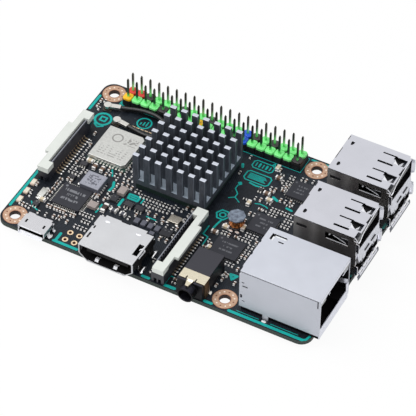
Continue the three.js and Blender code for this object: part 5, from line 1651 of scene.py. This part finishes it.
# Painted highlights: the strips along the mouth's bottom and top rim and the two upright ones at its sides
# stand for the light on the rim.
strips(video_bits, ACROSS_Z,
       (0.42, 0.12, (39.6, 4.05, 4.95), (39.64, 2.6, 5.05), (39.58, 1.0, 5.1)),
       (1.2, 0.1, (24.95, 1.2, 4.6), (25.35, 2.2, 4.6), (25.0, 3.4, 4.6)),
       (0.3, 0.12, (26.9, -1.86, 0.78), (32.0, -1.94, 0.7), (37.3, -1.86, 0.78)),
       (0.2, 0.1, (24.95, -1.9, 5.52), (32.0, -1.95, 5.56), (39.25, -1.9, 5.52)))
strips(video_bits, ACROSS_X,
       (0.24, 0.1, (24.8, -1.9, 5.5), (24.8, -1.92, 2.8), (26.8, -1.92, 0.8)),
       (0.24, 0.1, (39.42, -1.9, 5.5), (39.42, -1.92, 2.8), (37.4, -1.92, 0.8)))
foot_solder = bmesh.new()
for x, y, wide, deep in ((40.1, 7.9, 1.25, 3.2), (40.05, 2.1, 1.3, 2.7)):
    drop(foot_solder, x, y, wide, 1.5, deep, 0.3, 2)
piece("video_foot_solder", foot_solder, sheet_metal("smooth solder", srgb(244, 244, 246), 0.16, lines=1.0),
      turn=80)
piece("video_springs", video_bits, plated)
# Painted reflection: two lighter sheets at the left inside the mouth.
painted_sheens = bmesh.new()
slab(painted_sheens, (25.12, -1.2, 1.9), (25.2, 1.9, 5.2), 0.02)
strip(painted_sheens, [(26.0, 0.9, 1.5), (26.7, 0.9, 1.0)], 3.4, 0.06, ACROSS_Y)
piece("video_inner_sheet", painted_sheens, sheet_metal("shaded inner sheet", srgb(128, 126, 128), 0.3))
video_contacts = bmesh.new()
for k in range(10):
    x = VIDEO_X + (k - 4.5) * 1.0
    slab(video_contacts, (x - 0.22, -0.7, 4.04), (x + 0.22, 4.4, 4.12))
    slab(video_contacts, (x + 0.28, -0.7, 2.88), (x + 0.72, 4.4, 2.96))
piece("video_contacts", video_contacts, coats["gold_contact"])
soften("video_core", 0.08, moulded("video core plastic", srgb(14, 12, 13), 0.5, sheen=0.0, specular=0.15))
print("video contacts:", 20)

# %% [markdown]
# The power socket is the same build at a third of the size, with a lip that flares like a funnel.

# %% Power socket
POWER_X = 10.8
# Painted shade: inside the socket the steel is made nearly black.
power_metal = shaded_inside("power socket steel", srgb(203, 203, 207),
                            [(7.4, -1.1, 0.2, 14.2, 3.8, 2.42)], 0.28)
soften("power_shell", 0.07, power_metal, cutters=cut_blocks(
    (9.4, 3.75, 1.6, 12.2, 4.2, 3.0), (7.0, 3.2, 1.8, 7.5, 4.2, 3.0), (14.1, 3.2, 1.8, 14.6, 4.2, 3.0)))
soften("power_core", 0.05, moulded("power core plastic", srgb(22, 22, 24), 0.5))
power_bits = bmesh.new()
strip(power_bits, [(POWER_X, -0.85, 1.0), (POWER_X, -1.15, 0.75), (POWER_X, -1.6, 0.3)], 6.2, 0.12,
      widths=(5.8, 6.0, 5.6))
strip(power_bits, [(7.6, -0.9, 2.0), (7.4, -1.2, 1.2), (7.7, -1.5, 0.4)], 0.5, 0.1, ACROSS_Y)
strip(power_bits, [(POWER_X, -0.95, 2.6), (POWER_X, -1.3, 2.72)], 6.2, 0.1)
for way in (-1, 1):
    side, bent, foot = [POWER_X + way * reach for reach in (3.72, 3.82, 4.22)]
    strips(power_bits, ACROSS_Y, (1.1, 0.12, (side, 1.0, 1.3), (bent, 1.0, 0.35), (foot, 1.0, 0.1)),
           (0.7, 0.12, (side, 3.2, 1.0), (bent, 3.2, 0.3), (foot, 3.2, 0.1)))
for k in range(5):
    x = POWER_X + (k - 2) * 0.65
    strip(power_bits, [(x, 4.0, 0.7), (x, 4.5, 0.3), (x, 5.0, 0.08)], 0.3, 0.1)
    strip(power_bits, [(x, 3.2, 1.35), (x, -0.2, 1.35)], 0.32, 0.08)
piece("power_socket_strips", power_bits, plated)
print("power socket dressed")

# %% [markdown]
# The audio socket is a black moulding with a round barrel. A cream-plated plate clasps it, with a tongue
# bent down onto the barrel, and a foot comes down its right side to the board. Only the faces that look up
# get the moulding's lighter grey: its other faces are painted dark, as shade, and so are the plate's faces
# that don't look up. The barrel is finished more like metal, which leaves it darker than the rest.

# %% Audio socket
audio = Finish("audio socket plastic", Specular_IOR_Level=0.4)
grain = audio.noise(6.0, 3.0)
top_colour = audio.cloud(grain, srgb(37, 37, 45), srgb(44, 44, 53))
# Painted shade: faces that don't look up are made nearly black.
audio.grained(
    grain, 0.38, 0.5, 0.005, 0.4,
    Base_Color=audio.mix(audio.facing()[2] > 0.6, srgb(15, 14, 18), top_colour),
    Metallic=(audio.axes()[1] < 0.4) * 0.75)
soften("audio_body", 0.1, audio.material, turn=30)
plate = Finish("cream plated plate", Metallic=0.85, Specular_IOR_Level=0.4)
grain = plate.noise(3.0, 3.0)
cream = plate.cloud(grain, srgb(196, 189, 168), srgb(212, 204, 184))
# Painted shade: the plate's faces that don't look up are made dark brown.
plate.grained(
    grain, 0.38, 0.48, 0.004, 0.4,
    Base_Color=plate.mix(plate.facing()[2] > 0.4, srgb(104, 84, 62), cream))
soften("audio_plate", 0.04, plate.material)
audio_bits = bmesh.new()
strips(audio_bits, ACROSS_Y,
       (0.8, 0.14, (57.16, 3.4, 2.4), (57.2, 3.4, 1.0), (57.4, 3.4, 0.3), (57.9, 3.4, 0.06)),
       (0.9, 0.12, (50.24, 3.2, 2.4), (50.2, 3.2, 0.8), (49.7, 3.2, 0.07)))
strip(audio_bits, [(53.8, 0.9, 5.34), (53.8, 0.2, 5.3), (53.8, -0.5, 5.0), (53.8, -1.05, 4.72)], 1.4, 0.1,
      widths=(1.5, 1.25, 0.95, 0.65))
piece("audio_socket_strips", audio_bits, sheet_metal("pale plated strip", srgb(240, 234, 222), 0.35))
BORE = (53.7, 2.0)
bore = bmesh.new()
ring(bore, *BORE, 1.3, 1.62, 0.0, 0.1, 24)
quarter_turn = Matrix.Rotation(math.radians(90), 3, "X")
bmesh.ops.rotate(bore, verts=bore.verts, cent=spot(*BORE), matrix=quarter_turn)
bmesh.ops.translate(bore, verts=bore.verts, vec=Vector((0, 1.4, 2.5)) * MM)
piece("audio_bore_ring", bore, metals["spring"])
print("audio socket dressed")

# %% [markdown]
# A memory card would go under the board, into a flat socket: a metal cover over a metal plate. Two springs
# are cut free in the cover, small windows show its contacts, and its tabs are soldered at the corners. The
# picture doesn't show it, so it follows the usual form.

# %% Memory card socket
x0, card_y0, z0, x1, card_y1, z1 = box_mm("card_socket_cover")
card_room = (x0 + 0.1, card_y0 + 0.1, z0 + 0.1, x1 - 0.1, card_y1 - 0.1, z1 + 1)
# Painted shade: inside the cover the steel is made nearly black.
card_metal = shaded_inside("card socket steel", srgb(198, 200, 206), [card_room], 0.34, ALONG_X)
card_cuts = []
for spring_y in (23.4, 29.6):
    card_cuts += blocks_at(spring_y, (3.2, 0, -3, 9.0, 0.25, -2.3), (3.2, 2.4, -3, 9.0, 2.65, -2.3),
                           (3.2, 0, -3, 3.5, 2.65, -2.3))
for k in range(8):
    card_cuts += blocks_at(1.1 * k, (12.6, 23.2, -3, 14.3, 23.75, -2.3))
card_cuts += [(1.0, 26.6, -3, 2.0, 29.4, -2.3), (6.0, 33.0, -3, 8.2, 33.4, -2.3)]
soften("card_socket_cover", 0.08, card_metal, cutters=cut_blocks(*card_cuts))
soften("card_socket_plate", 0.08, sheet_metal("card socket plate", srgb(188, 188, 190), 0.36, ALONG_X))
card_bits = bmesh.new()
for k in range(8):
    y = 23.5 + 1.1 * k
    strips(card_bits, ACROSS_Y, (0.42, 0.12, (15.4, y, -1.7), (15.9, y, -BOARD_THICK - 0.12),
                                 (16.7, y, -BOARD_THICK - 0.07)))
for x in (2.6, 13.2):
    for y in (card_y0 - 0.45, card_y1 + 0.45):
        slab(card_bits, (x - 0.7, y - 0.5, -BOARD_THICK - 0.3), (x + 0.7, y + 0.5, -BOARD_THICK), 0.12, 2)
piece("card_socket_tabs", card_bits, tinned)
print("cuts in the card cover:", len(card_cuts))

# %% [markdown]
# ## Solder
# Socket feet end in drops of solder on the board, and every leg and pin that goes through it ends in a
# small cone below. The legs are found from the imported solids: any point of a shell under the board belongs
# to a leg.

# %% Feet of solder
feet = ((17.2, 20.1, 1.5, 0.5), (11.9, 20.2, 0.9, 0.9), (14.9, 17.95, 0.5, 2.6), (37.3, 19.1, 0.9, 0.7),
        (39.9, 19.1, 1.0, 0.7), (37.1, 22.2, 0.8, 0.8), (40.5, 21.6, 0.7, 1.2), (5.3, 11.1, 1.2, 0.6),
        (5.9, 15.1, 1.0, 0.6), (52.2, 23.9, 1.6, 0.7), (53.9, 24.1, 1.4, 0.8), (50.2, 25.2, 0.9, 1.4),
        (22.0, 24.3, 0.8, 0.6), (23.5, 24.3, 0.8, 0.6), (17.4, 15.3, 0.6, 1.0), (20.3, 14.9, 0.6, 1.0),
        (72.8, 1.55, 1.5, 0.9), (57.5, 3.7, 0.9, 1.2), (57.3, 9.9, 0.8, 1.0), (50.0, 4.6, 0.6, 0.9),
        (39.9, 7.9, 0.9, 3.0), (39.75, 2.1, 1.1, 2.5), (24.3, 7.9, 0.8, 2.4), (14.9, 1.4, 0.8, 1.6),
        (6.7, 1.6, 0.8, 1.6), (4.4, 47.9, 1.2, 0.5), (9.2, 44.9, 1.2, 0.5))
for x, y, wide, deep in feet:
    drop(drops, x, y, wide, 0.42, deep)


def cone(mesh, x, y, wide, deep):
    """A cone of solder round a leg, under the board."""
    place = Matrix.Translation(spot(x, y, -BOARD_THICK - deep / 2 + 0.01)) @ Matrix.Rotation(math.pi, 4, "X")
    bmesh.ops.create_cone(mesh, cap_ends=True, segments=12, radius1=wide / 2 * MM, radius2=wide / 5 * MM,
                          depth=deep * MM, matrix=place)


for x, y in HEADER_PLACES:
    cone(drops, x, y, 1.5, 0.75)
cones = len(HEADER_PLACES)
for node in ("usb_far_shell", "usb_middle_shell", "network_shell", "video_shell", "audio_plate"):
    legs = []
    for vertex in frame["nodes"][node].data.vertices:
        point = (vertex.co - spot(0, 0)) / MM
        if point.z < -BOARD_THICK - 0.2:
            leg = next((leg for leg in legs if (leg[0] - point).xy.length < 2.2), None)
            if leg:
                leg.append(point)
            else:
                legs.append([point])
    for leg in legs:
        middle = (Vector(map(max, *leg)) + Vector(map(min, *leg))) / 2
        cone(drops, middle.x, middle.y, 2.2, 0.9)
    cones += len(legs)
for y in USB_UNITS.values():
    for row in range(4):
        for column in range(2):
            cone(drops, 71.6 + 2.6 * column, y + (row - 1.5) * 2.3, 1.3, 0.6)
            cones += 1
for k in range(8):
    cone(drops, 70.4 + 2.54 * (k % 2), NET_Y + (k - 3.5) * 1.27, 1.2, 0.6)
    cones += 1
piece("solder_drops", drops, solder_finish.material)
print("solder cones under the board:", cones)

# %% [markdown]
# The underside is printed too: frames round the memory chips and the card socket, strips near two corners
# and a few arcs. They are drawn as on the top, and the whole drawing is then flipped and moved down.

# %% Printing on the underside
under_ink = bmesh.new()
for node in ("memory_chip_left", "memory_chip_right", "card_socket_cover"):
    x0, y0, z0, x1, y1, z1 = box_mm(node)
    frame_of(under_ink, x0 - 0.7, y0 - 0.7, x1 + 0.7, y1 + 0.7, 0.16, 0.5)
stroke(under_ink, [(8.0, 1.0), (16.0, 1.0)], 0.9)
stroke(under_ink, [(65.5, 55.0), (76.0, 55.0)], 0.9)
for k in range(4):
    circle(under_ink, 62.0, 29.0, 1.2 + 1.1 * k, 0.22, 20 * k, 200 + 30 * k)
bmesh.ops.scale(under_ink, verts=under_ink.verts, vec=(1, 1, -1), space=Matrix.Translation(-spot(0, 0)))
bmesh.ops.translate(under_ink, verts=under_ink.verts, vec=(0, 0, -BOARD_THICK * MM))
piece("turquoise_printing_below", under_ink, ink_finish.material)
print("strokes and caps of ink on both faces:", ink_count)

# %% Pads of solder
piece("solder_pads", solder, solder_finish.material)
print("feet of solder:", len(feet))
